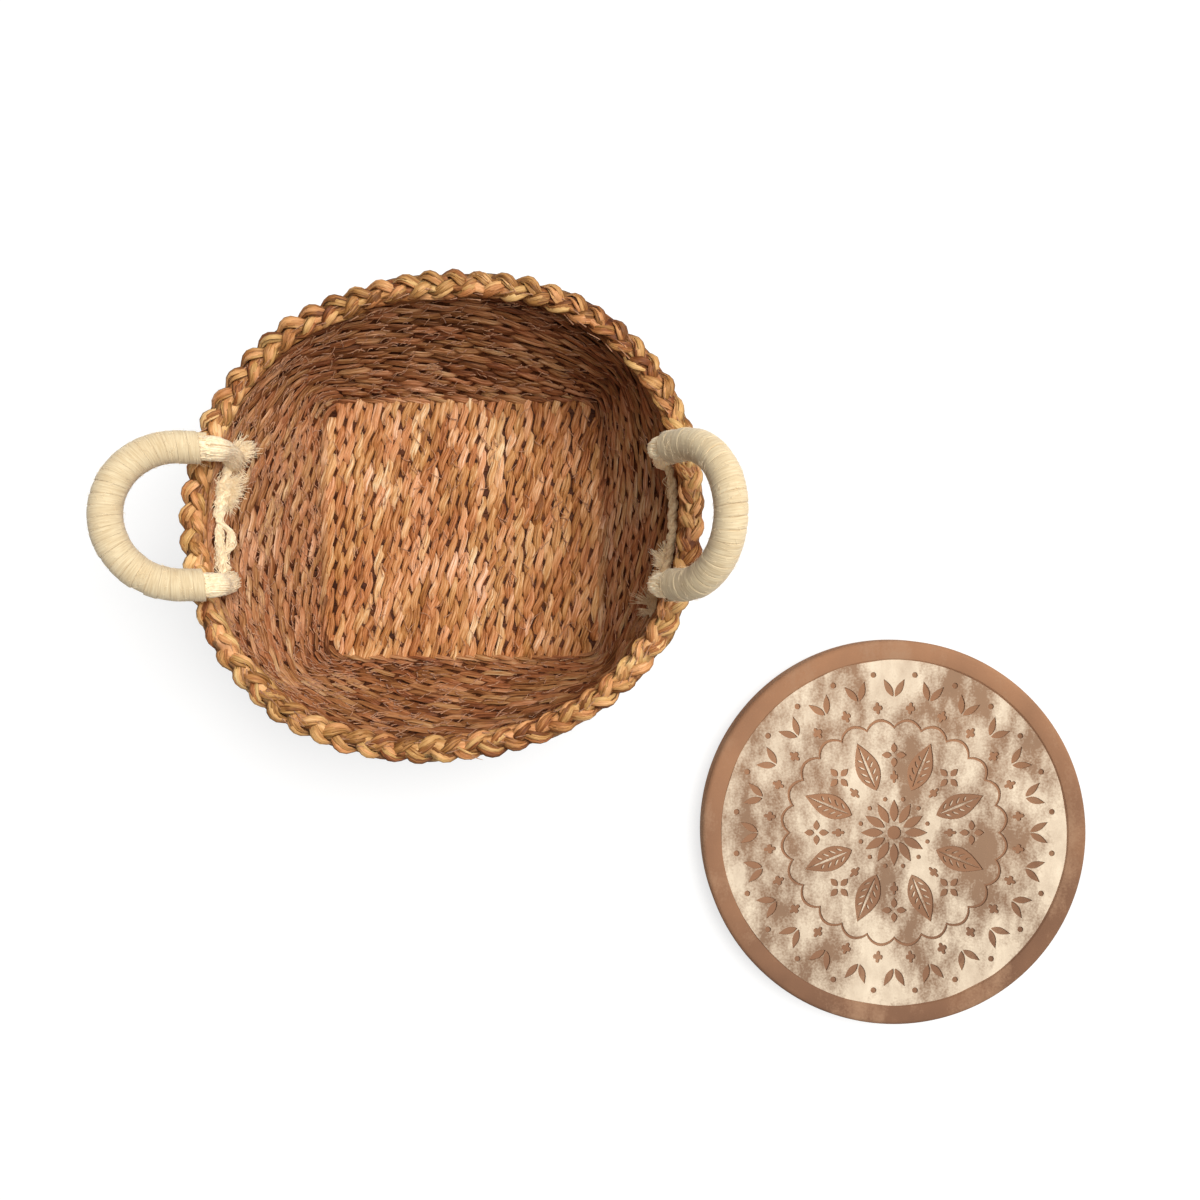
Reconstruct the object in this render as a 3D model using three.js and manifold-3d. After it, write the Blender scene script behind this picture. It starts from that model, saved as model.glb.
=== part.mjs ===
// Bread warmer basket: a twined grass basket with a plaited rim and two yarn-wrapped
// rope handles, and the round clay warming stone that lies beside it.
// Millimetres, +Z up. The origin is on the table, under the middle of the basket.
// The basket is made as it is woven: rows across the floor, courses round the wall,
// the plait on top, then the handles, each hinged where its rope crosses the rim.

import * as THREE from 'three';
import { mergeVertices } from 'three/addons/utils/BufferGeometryUtils.js';
import Module from 'manifold-3d';

const wasm = await Module();
wasm.setup();

// Driving dimensions

const gap = 0.3;                    // clearance between pieces that touch
const halfTurn = Math.PI;
const degree = Math.PI / 180;

const floorLength = 147;            // across the rows, along X
const floorWidth = 137;             // along the rows, along Y
const floorRows = 29;
const floorThickness = 7;
const rowEdge = 1.4;                // chamfer along a floor row

const wallCourses = 14;
const wallThickness = 5.4;
const wallFoot = 1.6;               // height of the wall's lower edge above the table
const wallBulge = 5;                // how far the wall swells past a straight slope
const cornerSharpness = 14;         // exponent of the rounded rectangle at the floor
const courseShoulder = 0.24;        // share of a course taken by its sloping edge
const stepsPerSide = 9;             // facets of a ring along each side of the floor
const cornerCrowding = 0.45;        // how much the facets crowd towards the corners

const rimRadius = 119.4;            // mean outer radius of the plait
const rimOvality = 0.039;
const rimOvalTurn = 17 * degree;
const rimSquareness = 0.011;
const rimSquareTurn = 3 * degree;
const braidWidth = 13;
const braidHeight = 12;
const braidTop = 85;
const braidSides = 10;

const gripRadius = 7.5;             // outside of the yarn wrapping
const gripSpan = 62.5;              // between the middles of a handle's two legs
const gripReach = 49;               // from the hinge axis to the middle of the bow
const yarnThickness = 2.2;
const yarnGap = 0.62;               // open groove between neighbouring turns
const yarnClearance = 0.6;          // between the rope core's facets and the yarn
const yarnTurns = 24;
const stepsPerTurn = 10;
const yarnShoulder = 0.35;          // share of the yarn's height taken by its rounded back
const coreSides = 8;
const coreSteps = 30;

const hingeInset = 10.9;            // hinge axis to the middle of the plait, inwards
const hingeRise = 5;                // hinge axis above the top of the plait
const leftTilt = 24 * degree;       // left handle above level, as photographed
const rightTilt = 54 * degree;      // right handle above level, as photographed

const wallSeat = 0.9;               // to what lies on the inner wall, past its facets' dip
const knuckleRadius = 6;            // rounded top of a lashing, round the hinge axis
const lashingRadius = 4.3;
const lashingRun = 3.4;             // stretch of a lashing that runs square to the wall
const lashingSides = 8;
const lashingSteps = 8;
const knuckleFacets = [12, 8];
const lashingEntry = 0.9;           // how far up the wall the lashing goes in
const tieRadius = 2;
const tieSides = 6;
const tieSteps = 12;
const tieHeight = 0.93;             // how far up the wall the tie strand lies
const tuftSize = new THREE.Vector3(5.5, 4.2, 3);   // half sizes: round, up, out of the wall
const tuftFacets = [10, 6];

const stoneRadius = 101.6;
const stoneThickness = 15;
const stoneEdge = 2.5;              // rounding of the stone's edge
const stoneBand = 10;               // plain band round the pressed field
const stoneRecess = 0.8;            // depth of the field below the band
const stoneSegments = 48;
const stoneBends = 3;
const stoneCentre = new THREE.Vector2(229, -161);

// Materials

function surface(color, roughness) {
  return new THREE.MeshStandardMaterial({ color, roughness, metalness: 0 });
}

const grass = surface('#b5835a', 0.8);
const goldenGrass = surface('#b98a4e', 0.75);
const yarn = surface('#e6d3a8', 0.9);
const rope = surface('#d9c495', 0.95);
const clay = surface('#a5705a', 0.9);

const basket = new THREE.Group();

function place(geometry, name, material, parent = basket) {
  const mesh = new THREE.Mesh(geometry, material);
  mesh.name = name;
  parent.add(mesh);
  return mesh;
}

function numbered(name, index) {
  return `${name}_${String(index).padStart(2, '0')}`;
}

// Shape of the wall: from a rounded rectangle at the floor to the oval of the rim

const braidMiddle = braidTop - braidHeight / 2;
const wallHalf = wallThickness / 2;
const wallTop = braidTop - braidHeight - gap - gap / 2;
const wallClearance = wallHalf - gap * 2;          // the floor's edge to the wall's foot line
const footX = floorLength / 2 + wallClearance;
const footY = floorWidth / 2 + wallClearance;

function footRadius(angle) {
  const along = Math.abs(Math.cos(angle)) / footX;
  const across = Math.abs(Math.sin(angle)) / footY;
  return (along ** cornerSharpness + across ** cornerSharpness) ** (-1 / cornerSharpness);
}

function rimOuter(angle) {
  const oval = rimOvality * Math.cos(2 * (angle - rimOvalTurn));
  const square = rimSquareness * Math.cos(4 * (angle - rimSquareTurn));
  return rimRadius * (1 + oval - square);
}

function braidRadius(angle) {
  return rimOuter(angle) - braidWidth / 2;
}

function wallCurve(angle) {
  const foot = new THREE.Vector2(footRadius(angle), wallFoot);
  const top = new THREE.Vector2(braidRadius(angle), wallTop);
  const slope = top.clone().sub(foot).normalize();
  const outward = new THREE.Vector2(slope.y, -slope.x);
  const middle = foot.clone().lerp(top, 0.5).addScaledVector(outward, wallBulge);
  return new THREE.QuadraticBezierCurve(foot, middle, top);
}

function wallPoint(curve, share, outwards = 0) {
  const point = curve.getPoint(share);
  const tangent = curve.getTangent(share);
  return point.add(new THREE.Vector2(tangent.y, -tangent.x).multiplyScalar(outwards));
}

function turned(point, angle) {
  return new THREE.Vector3(point.x * Math.cos(angle), point.x * Math.sin(angle), point.y);
}

// A closed ring from sections that stand in upright planes through the middle

function ringAngles() {
  const corner = Math.atan2(footY, footX);
  const corners = [-corner, corner, halfTurn - corner, halfTurn + corner, 2 * halfTurn - corner];
  const angles = [];
  for (let side = 0; side < 4; side += 1) {
    for (let step = 0; step < stepsPerSide; step += 1) {
      const even = step / stepsPerSide;
      const eased = (1 - Math.cos(halfTurn * even)) / 2;
      const share = THREE.MathUtils.lerp(even, eased, cornerCrowding);
      angles.push(THREE.MathUtils.lerp(corners[side], corners[side + 1], share));
    }
  }
  return angles;
}

function solidFromLoops(loops, closed) {
  const sides = loops[0].length;
  const positions = loops.flat().flatMap((point) => point.toArray());
  const faces = [];
  const spans = closed ? loops.length : loops.length - 1;
  for (let row = 0; row < spans; row += 1) {
    const here = row * sides;
    const next = ((row + 1) % loops.length) * sides;
    for (let side = 0; side < sides; side += 1) {
      const after = (side + 1) % sides;
      faces.push(here + side, next + side, next + after);
      faces.push(here + side, next + after, here + after);
    }
  }
  if (!closed) {
    const last = (loops.length - 1) * sides;
    for (let side = 1; side < sides - 1; side += 1) {
      faces.push(0, side, side + 1);
      faces.push(last, last + side + 1, last + side);
    }
  }
  const geometry = new THREE.BufferGeometry();
  geometry.setAttribute('position', new THREE.Float32BufferAttribute(positions, 3));
  geometry.setIndex(faces);
  return geometry;
}

function ring(sectionAt) {
  const loops = ringAngles().map((angle) => sectionAt(angle).map((point) => turned(point, angle)));
  return solidFromLoops(loops, true);
}

// Floor: rows that run along Y, cut to length where the wall's first course rounds the corners

const rowPitch = floorLength / floorRows;
const innerFoot = ringAngles().map((angle) => {
  return turned(wallPoint(wallCurve(angle), courseShoulder / wallCourses, -wallHalf), angle);
});

function rowHalfLength(outerX) {
  let half = floorWidth / 2;
  innerFoot.forEach((point, index) => {
    const next = innerFoot[(index + 1) % innerFoot.length];
    const share = (outerX - Math.abs(point.x)) / (Math.abs(next.x) - Math.abs(point.x));
    if (point.y * next.y > 0 && share >= 0 && share <= 1) {
      const edge = THREE.MathUtils.lerp(Math.abs(point.y), Math.abs(next.y), share);
      half = Math.min(half, edge - gap);
    }
  });
  return half;
}

function floorRow(middleX) {
  const half = (rowPitch - gap) / 2;
  const section = new THREE.Shape();
  section.moveTo(-half + rowEdge, 0);
  section.lineTo(half - rowEdge, 0);
  section.lineTo(half, rowEdge);
  section.lineTo(half, floorThickness - rowEdge);
  section.lineTo(half - rowEdge, floorThickness);
  section.lineTo(-half + rowEdge, floorThickness);
  section.lineTo(-half, floorThickness - rowEdge);
  section.lineTo(-half, rowEdge);
  const length = 2 * rowHalfLength(Math.abs(middleX) + half);
  const row = new THREE.ExtrudeGeometry(section, { depth: length, bevelEnabled: false });
  row.rotateX(halfTurn / 2);
  row.translate(middleX, length / 2, 0);
  return row;
}

for (let row = 1; row <= floorRows; row += 1) {
  const middleX = (row - (floorRows + 1) / 2) * rowPitch;
  place(floorRow(middleX), numbered('floor_row', row), grass);
}

// Wall: courses that follow each other up the slope, narrower where the wall is shorter

function courseSection(angle, course) {
  const curve = wallCurve(angle);
  const edge = gap / 2 / curve.getLength();
  const low = (course - 1) / wallCourses;
  const high = course / wallCourses;
  const shoulder = courseShoulder / wallCourses;
  return [
    wallPoint(curve, low + edge),
    wallPoint(curve, low + shoulder, wallHalf),
    wallPoint(curve, high - shoulder, wallHalf),
    wallPoint(curve, high - edge),
    wallPoint(curve, high - shoulder, -wallHalf),
    wallPoint(curve, low + shoulder, -wallHalf),
  ];
}

for (let course = 1; course <= wallCourses; course += 1) {
  const geometry = ring((angle) => courseSection(angle, course));
  place(geometry, numbered('wall_course', course), grass);
}

// Rim plait

function braidSection(angle) {
  const section = [];
  for (let side = 0; side < braidSides; side += 1) {
    const turn = (2 * halfTurn * side) / braidSides - halfTurn / 2;
    const across = braidRadius(angle) + (braidWidth / 2) * Math.cos(turn);
    section.push(new THREE.Vector2(across, braidMiddle + (braidHeight / 2) * Math.sin(turn)));
  }
  return section;
}

place(ring(braidSection), 'rim_braid', goldenGrass);

// Where the handles hinge: side is -1 for the left handle and 1 for the right one

const legOffset = gripSpan / 2;
const hingeHeight = braidTop + hingeRise;

function legAngle(side, legY) {
  const reach = braidRadius(side < 0 ? halfTurn : 0);
  const lean = Math.asin(legY / reach);
  return side < 0 ? halfTurn - lean : lean;
}

function braidX(side, legY) {
  const angle = legAngle(side, legY);
  return Math.abs(braidRadius(angle) * Math.cos(angle));
}

function hingeX(side) {
  return side * ((braidX(side, legOffset) + braidX(side, -legOffset)) / 2 - hingeInset);
}

// Handle grips: a rope core bent to a bow, and one yarn wound round it from leg to leg

class Bow extends THREE.Curve {
  constructor(start) {
    super();
    this.start = start;
    this.straight = gripReach - legOffset - start;
    this.total = 2 * this.straight + halfTurn * legOffset;
  }

  getPoint(share) {
    return this.at(share * this.total).point;
  }

  // Place, direction and inward direction at a distance along the bow
  at(distance) {
    const bend = distance - this.straight;
    if (bend <= 0) {
      return {
        point: new THREE.Vector3(this.start + distance, legOffset, 0),
        along: new THREE.Vector3(1, 0, 0),
        inward: new THREE.Vector3(0, -1, 0),
        bent: false,
      };
    }
    if (bend >= halfTurn * legOffset) {
      const back = bend - halfTurn * legOffset;
      return {
        point: new THREE.Vector3(this.start + this.straight - back, -legOffset, 0),
        along: new THREE.Vector3(-1, 0, 0),
        inward: new THREE.Vector3(0, 1, 0),
        bent: false,
      };
    }
    const turn = bend / legOffset;
    const outward = new THREE.Vector3(Math.sin(turn), Math.cos(turn), 0);
    return {
      point: new THREE.Vector3(gripReach - legOffset, 0, 0).addScaledVector(outward, legOffset),
      along: new THREE.Vector3(Math.cos(turn), -Math.sin(turn), 0),
      inward: outward.negate(),
      bent: true,
    };
  }
}

const bow = new Bow(knuckleRadius + gap);
const yarnInner = gripRadius - yarnThickness;
const coreRadius = yarnInner - yarnClearance;

function polygon(radius, sides) {
  const shape = new THREE.Shape();
  for (let side = 0; side < sides; side += 1) {
    const turn = (2 * halfTurn * side) / sides;
    const [x, y] = [radius * Math.cos(turn), radius * Math.sin(turn)];
    if (side === 0) {
      shape.moveTo(x, y);
    } else {
      shape.lineTo(x, y);
    }
  }
  return shape;
}

function gripCore() {
  const shape = polygon(coreRadius, coreSides);
  return new THREE.ExtrudeGeometry(shape, { steps: coreSteps, extrudePath: bow });
}

function windingLoops() {
  const margin = gap;
  const length = bow.total - 2 * margin;
  const steps = yarnTurns * stepsPerTurn;
  const pitch = length / (yarnTurns + 1);
  const middleRadius = gripRadius - yarnThickness / 2;
  const loops = [];
  for (let step = 0; step <= steps; step += 1) {
    const distance = margin + pitch / 2 + (pitch * step) / stepsPerTurn;
    const turn = (2 * halfTurn * step) / stepsPerTurn;
    const { point, along, inward, bent } = bow.at(distance);
    const normal = new THREE.Vector3(0, 0, 1);
    const outward = inward.clone().multiplyScalar(Math.cos(turn));
    outward.addScaledVector(normal, Math.sin(turn));
    const squeeze = bent ? 1 - (middleRadius * Math.cos(turn)) / legOffset : 1;
    const half = (pitch * squeeze - yarnGap) / 2;
    const corner = (side, radius) => point.clone()
      .addScaledVector(outward, radius)
      .addScaledVector(along, side * half);
    const shoulder = gripRadius - yarnThickness * yarnShoulder;
    loops.push([
      corner(-1, yarnInner),
      corner(1, yarnInner),
      corner(1, shoulder),
      corner(0, gripRadius),
      corner(-1, shoulder),
    ]);
  }
  return loops;
}

// The least distance between edge points of neighbouring turns
function windingSelfGap(loops) {
  let least = Infinity;
  const near = 3;
  for (let step = 0; step + stepsPerTurn - near < loops.length; step += 1) {
    const first = step + stepsPerTurn - near;
    const last = Math.min(loops.length - 1, step + stepsPerTurn + near);
    for (let other = first; other <= last; other += 1) {
      for (const here of loops[step]) {
        for (const there of loops[other]) {
          least = Math.min(least, here.distanceTo(there));
        }
      }
    }
  }
  return least;
}

const yarnLoops = windingLoops();
console.log(`least gap of the yarn winding to itself: ${windingSelfGap(yarnLoops).toFixed(2)} mm`);

function addHandle(name, side, tilt) {
  const handle = new THREE.Group();
  handle.position.set(hingeX(side), 0, hingeHeight);
  handle.rotation.set(0, -side * tilt, side < 0 ? halfTurn : 0, 'YXZ');
  basket.add(handle);
  place(gripCore(), `${name}_grip_core`, rope, handle);
  place(solidFromLoops(yarnLoops, false), `${name}_grip_winding`, yarn, handle);
}

addHandle('left', -1, leftTilt);
addHandle('right', 1, rightTilt);

// Lashings: the rope's loose end, from the hinge down the inside to where it enters the wall

function toManifold(geometry) {
  const bare = geometry.clone();
  bare.deleteAttribute('normal');
  bare.deleteAttribute('uv');
  const merged = mergeVertices(bare, 1e-4);
  return new wasm.Manifold(new wasm.Mesh({
    numProp: 3,
    vertProperties: new Float32Array(merged.attributes.position.array),
    triVerts: new Uint32Array(merged.index.array),
  }));
}

function joined(first, second) {
  const mesh = toManifold(first).add(toManifold(second)).getMesh();
  const geometry = new THREE.BufferGeometry();
  geometry.setAttribute('position', new THREE.BufferAttribute(mesh.vertProperties, 3));
  geometry.setIndex(new THREE.BufferAttribute(mesh.triVerts, 1));
  return geometry;
}

function tube(points, radius, sides, steps) {
  const extrudePath = new THREE.CatmullRomCurve3(points);
  return new THREE.ExtrudeGeometry(polygon(radius, sides), { steps, extrudePath });
}

function onInnerWall(angle, share, distance) {
  return turned(wallPoint(wallCurve(angle), share, -(wallHalf + distance)), angle);
}

function lashing(side, legY) {
  const knuckle = new THREE.Vector3(hingeX(side), legY, hingeHeight);
  const innerX = side * (braidX(side, legY) - braidWidth / 2 - lashingRadius - 4 * gap);
  const angle = legAngle(side, legY);
  const inboard = Math.abs(innerX) < Math.abs(knuckle.x) ? innerX : knuckle.x;
  const points = [
    knuckle,
    new THREE.Vector3(inboard, legY, braidMiddle),
    onInnerWall(angle, lashingEntry, 2 * lashingRun),
    onInnerWall(angle, lashingEntry, lashingRun),
    onInnerWall(angle, lashingEntry, wallSeat),
  ];
  const ball = new THREE.SphereGeometry(knuckleRadius, ...knuckleFacets);
  ball.translate(knuckle.x, knuckle.y, knuckle.z);
  return joined(tube(points, lashingRadius, lashingSides, lashingSteps), ball);
}

for (const [name, side] of [['left', -1], ['right', 1]]) {
  place(lashing(side, legOffset), `${name}_back_lashing`, rope);
  place(lashing(side, -legOffset), `${name}_front_lashing`, rope);
}

// Tie strands: each runs along the inner wall from one lashing of a handle to the other

function tieStrand(side) {
  const reach = legOffset - lashingRadius - gap;
  const points = [];
  const spans = tieSteps / 2;
  for (let step = 0; step <= spans; step += 1) {
    const angle = legAngle(side, THREE.MathUtils.lerp(-reach, reach, step / spans));
    points.push(onInnerWall(angle, tieHeight, wallSeat + tieRadius));
  }
  return tube(points, tieRadius, tieSides, tieSteps);
}

place(tieStrand(-1), 'left_tie_strand', rope);
place(tieStrand(1), 'right_tie_strand', rope);

// Frayed tufts of the rope ends, where they come out on the inner wall

function tuft(angle, share) {
  const geometry = new THREE.SphereGeometry(1, ...tuftFacets);
  geometry.scale(tuftSize.x, tuftSize.y, tuftSize.z);
  const curve = wallCurve(angle);
  const tangent = curve.getTangent(share);
  const outward = turned(new THREE.Vector2(tangent.y, -tangent.x), angle);
  const upward = turned(tangent, angle);
  const around = upward.clone().cross(outward);
  const frame = new THREE.Matrix4().makeBasis(around, upward, outward);
  geometry.applyMatrix4(frame);
  const middle = onInnerWall(angle, share, wallSeat + tuftSize.z);
  geometry.translate(middle.x, middle.y, middle.z);
  return geometry;
}

const tufts = [
  ['left_back_tuft', 162, 0.76],
  ['left_middle_tuft', 173, 0.83],
  ['right_middle_tuft', -10, 0.83],
  ['right_front_tuft', -23, 0.8],
];
for (const [name, angle, share] of tufts) {
  place(tuft(angle * degree, share), name, rope);
}

// Warming stone: a clay disc, its field pressed a little below a plain band

function stoneProfile() {
  const field = stoneRadius - stoneBand;
  const profile = [
    new THREE.Vector2(0, 0),
    new THREE.Vector2(stoneRadius - stoneEdge, 0),
    new THREE.Vector2(stoneRadius, stoneEdge),
    new THREE.Vector2(stoneRadius, stoneThickness - stoneEdge),
  ];
  for (let step = 1; step <= stoneBends; step += 1) {
    const turn = (halfTurn / 2) * (step / stoneBends);
    const across = stoneRadius - stoneEdge * (1 - Math.cos(turn));
    profile.push(new THREE.Vector2(across, stoneThickness - stoneEdge * (1 - Math.sin(turn))));
  }
  profile.push(new THREE.Vector2(field, stoneThickness));
  profile.push(new THREE.Vector2(field - stoneRecess, stoneThickness - stoneRecess));
  profile.push(new THREE.Vector2(0, stoneThickness - stoneRecess));
  return profile;
}

const stone = new THREE.LatheGeometry(stoneProfile(), stoneSegments);
stone.rotateX(halfTurn / 2);
place(stone, 'warming_stone', clay).position.set(stoneCentre.x, stoneCentre.y, 0);

export default basket;
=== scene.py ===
"""Bread warmer: a twined grass basket, two wrapped rope handles and a clay warming stone."""

import logging
import math
from collections.abc import Iterable
from dataclasses import dataclass
from enum import Enum

import bmesh
import bpy
import numpy as np
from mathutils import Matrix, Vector


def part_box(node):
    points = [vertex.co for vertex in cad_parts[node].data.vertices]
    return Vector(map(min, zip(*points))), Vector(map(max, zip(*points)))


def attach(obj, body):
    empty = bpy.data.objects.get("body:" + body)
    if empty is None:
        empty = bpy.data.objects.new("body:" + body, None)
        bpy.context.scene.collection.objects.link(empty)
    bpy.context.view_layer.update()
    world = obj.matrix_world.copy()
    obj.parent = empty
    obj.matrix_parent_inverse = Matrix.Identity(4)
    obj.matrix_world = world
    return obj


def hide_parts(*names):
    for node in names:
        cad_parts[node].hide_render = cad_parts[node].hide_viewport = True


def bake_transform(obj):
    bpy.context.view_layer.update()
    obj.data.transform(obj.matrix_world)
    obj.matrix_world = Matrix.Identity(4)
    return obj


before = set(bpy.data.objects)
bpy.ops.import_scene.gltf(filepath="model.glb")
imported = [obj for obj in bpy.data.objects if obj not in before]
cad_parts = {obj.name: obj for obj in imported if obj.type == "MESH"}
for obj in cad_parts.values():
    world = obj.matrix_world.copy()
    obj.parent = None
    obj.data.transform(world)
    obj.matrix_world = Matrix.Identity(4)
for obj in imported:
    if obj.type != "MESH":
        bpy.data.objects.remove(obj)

LOG = logging.getLogger("bread_warmer")
MM = 0.001
FULL_TURN = 2 * math.pi

Array = np.ndarray
Random = np.random.Generator
Colour = tuple[float, float, float, float]
Triple = tuple[float, float, float]
Material = bpy.types.Material
Mesh = bpy.types.Mesh
Node = bpy.types.Node
Shape = bmesh.types.BMesh
Socket = bpy.types.NodeSocket
Thing = bpy.types.Object
Tree = bpy.types.NodeTree

seeded = np.random.default_rng


class Slot(Enum):
    """Material slots of the record."""

    GRASS = "grass"
    PLAIT = "plait"
    YARN = "yarn"
    ROPE = "rope"
    CLAY = "clay"


class Side(Enum):
    """The two handle sides of the basket."""

    LEFT = -1
    RIGHT = 1

    @property
    def word(self) -> str:
        """The side's name in node and piece names."""
        return self.name.lower()


def srgb(red: float, green: float, blue: float) -> Colour:
    """Turns a colour written in 0 to 255 values into the linear one that a socket takes.

    Args:
        red: Red, from 0 to 255.
        green: Green, likewise.
        blue: Blue, likewise.

    Returns:
        The linear colour, with an alpha of 1.
    """
    parts = [value / 255 for value in (red, green, blue)]
    linear = [part / 12.92 if part <= 0.04045 else ((part + 0.055) / 1.055) ** 2.4 for part in parts]
    return (*linear, 1.0)


def palette(*colours: Triple) -> tuple[Colour, ...]:
    """Turns several colours written in 0 to 255 values."""
    return tuple(srgb(*colour) for colour in colours)


def columns(*values: Array | float) -> Array:
    """Stands values side by side as the coordinates of points."""
    return np.stack(np.broadcast_arrays(*values), axis=-1)


def around(angle: Array | float, radius: Array | float, height: Array | float) -> Array:
    """Points round the basket's upright axis."""
    return columns(radius * np.cos(angle), radius * np.sin(angle), height)


def run_lengths(points: Array) -> Array:
    """Distance along a line at each of its points."""
    return np.concatenate([[0.0], np.cumsum(np.linalg.norm(np.diff(points, axis=0), axis=1))])


def wander(rng: Random, count: int, knots: int, strength: float, closed: bool = False) -> Array:
    """Makes a smooth random line.

    Args:
        rng: Seeded source of the random knots.
        count: Number of values.
        knots: Number of spans between random knots.
        strength: Standard deviation of the knots.
        closed: Whether the line ends where it starts.

    Returns:
        The values along the line.
    """
    values = rng.normal(0, strength, knots + 1)
    if closed:
        values[-1] = values[0]
    place = np.linspace(0, knots, count, endpoint=not closed)
    low = np.minimum(place.astype(int), knots - 1)
    ease = (1 - np.cos(math.pi * (place - low))) / 2
    return values[low] * (1 - ease) + values[low + 1] * ease


def smooth_line(points: list[Array], count: int) -> Array:
    """Draws a smooth line through points.

    Args:
        points: Points it passes.
        count: Number of points of the line.

    Returns:
        The line's points, evenly spread.
    """
    knots = np.array(points)
    padded = np.vstack([2 * knots[0] - knots[1], knots, 2 * knots[-1] - knots[-2]])
    pieces = []
    for index in range(1, len(padded) - 2):
        before, here, there, after = padded[index - 1 : index + 3]
        t = np.linspace(0, 1, 20, endpoint=False)[:, None]
        curve = 2 * here + (there - before) * t + (2 * before - 5 * here + 4 * there - after) * t**2
        pieces.append((curve + (3 * here - before - 3 * there + after) * t**3) / 2)
    dense = np.vstack([*pieces, knots[-1:]])
    lengths = run_lengths(dense)
    wanted = np.linspace(0, lengths[-1], count)
    return columns(*(np.interp(wanted, lengths, dense[:, axis]) for axis in range(3)))


@dataclass
class Tube:
    """A line and two directions square to it at each of its points.

    Attributes:
        line: Points of the line.
        near: Direction that stays near a chosen side.
        other: Direction square to it.
    """

    line: Array
    near: Array
    other: Array

    @classmethod
    def along(cls, line: Array, side: Triple) -> "Tube":
        """Finds the directions, the first one near the given side.

        Args:
            line: Points of the line.
            side: The side to stay near.

        Returns:
            The tube.
        """
        tangent = np.gradient(line, axis=0)
        tangent = tangent / np.linalg.norm(tangent, axis=1)[:, None]
        near = np.array(side) - tangent * (tangent @ np.array(side))[:, None]
        near = near / np.linalg.norm(near, axis=1)[:, None]
        return cls(line, near, np.cross(tangent, near))

    def part(self, span: slice, line: Array) -> "Tube":
        """A stretch of the tube, moved to another line."""
        return Tube(line[span], self.near[span], self.other[span])

    def beside(self, off: Array, about: Array) -> Array:
        """Points off the line by a distance, at an angle round it."""
        nearwards = self.near * (off * np.cos(about))[:, None]
        return self.line + nearwards + self.other * (off * np.sin(about))[:, None]


def with_settings(thing: object, **settings: object) -> object:
    """Sets properties of a thing and returns it.

    Args:
        thing: The thing.
        settings: Its properties, by name.

    Returns:
        The same thing.
    """
    for name, value in settings.items():
        setattr(thing, name, value)
    return thing


def linked(name: str, data: bpy.types.ID) -> Thing:
    """Makes an object of some data and links it to the scene.

    Args:
        name: Its name.
        data: What it shows.

    Returns:
        The object.
    """
    thing = bpy.data.objects.new(name, data)
    bpy.context.scene.collection.objects.link(thing)
    return thing


def drop(thing: Thing) -> None:
    """Removes a helper curve object with its data.

    Args:
        thing: The object.
    """
    data = thing.data
    bpy.data.objects.remove(thing)
    bpy.data.curves.remove(data)


def new_curve(name: str, **settings: object) -> bpy.types.Curve:
    """Starts a curve with the given settings."""
    return with_settings(bpy.data.curves.new(name, "CURVE"), **settings)


def add_line(
    curve: bpy.types.Curve, points: Array, closed: bool = False, **values: Array | float
) -> None:
    """Adds a line to a curve.

    Args:
        curve: The curve.
        points: The line's points.
        closed: Whether the line closes on itself.
        values: What its points carry, such as radius and tilt.
    """
    count = len(points)
    spline = curve.splines.new("POLY")
    spline.points.add(count - 1)
    spline.use_cyclic_u = closed
    spline.points.foreach_set("co", np.hstack([points, np.ones((count, 1))]).ravel())
    for name, value in values.items():
        spline.points.foreach_set(name, np.broadcast_to(value, count).astype(float))


def curve_mesh(curve: bpy.types.Curve) -> Mesh:
    """Makes a mesh of a finished curve and removes the curve.

    Args:
        curve: The curve, which is used up.

    Returns:
        The mesh.
    """
    carrier = linked(curve.name, curve)
    graph = bpy.context.evaluated_depsgraph_get()
    mesh = bpy.data.meshes.new_from_object(carrier.evaluated_get(graph))
    drop(carrier)
    return mesh


def gathered(meshes: Iterable[Mesh]) -> Shape:
    """Gathers meshes into one shape and removes them.

    Args:
        meshes: The meshes, which are used up.

    Returns:
        The shape.
    """
    shape = bmesh.new()
    for mesh in meshes:
        shape.from_mesh(mesh)
        bpy.data.meshes.remove(mesh)
    return shape


def welded(shape: Shape) -> Shape:
    """Joins the doubled corners of a shape and points its faces outwards.

    Args:
        shape: The shape, which is changed.

    Returns:
        The same shape.
    """
    bmesh.ops.remove_doubles(shape, verts=shape.verts, dist=1e-7)
    bmesh.ops.recalc_face_normals(shape, faces=shape.faces)
    return shape


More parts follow.
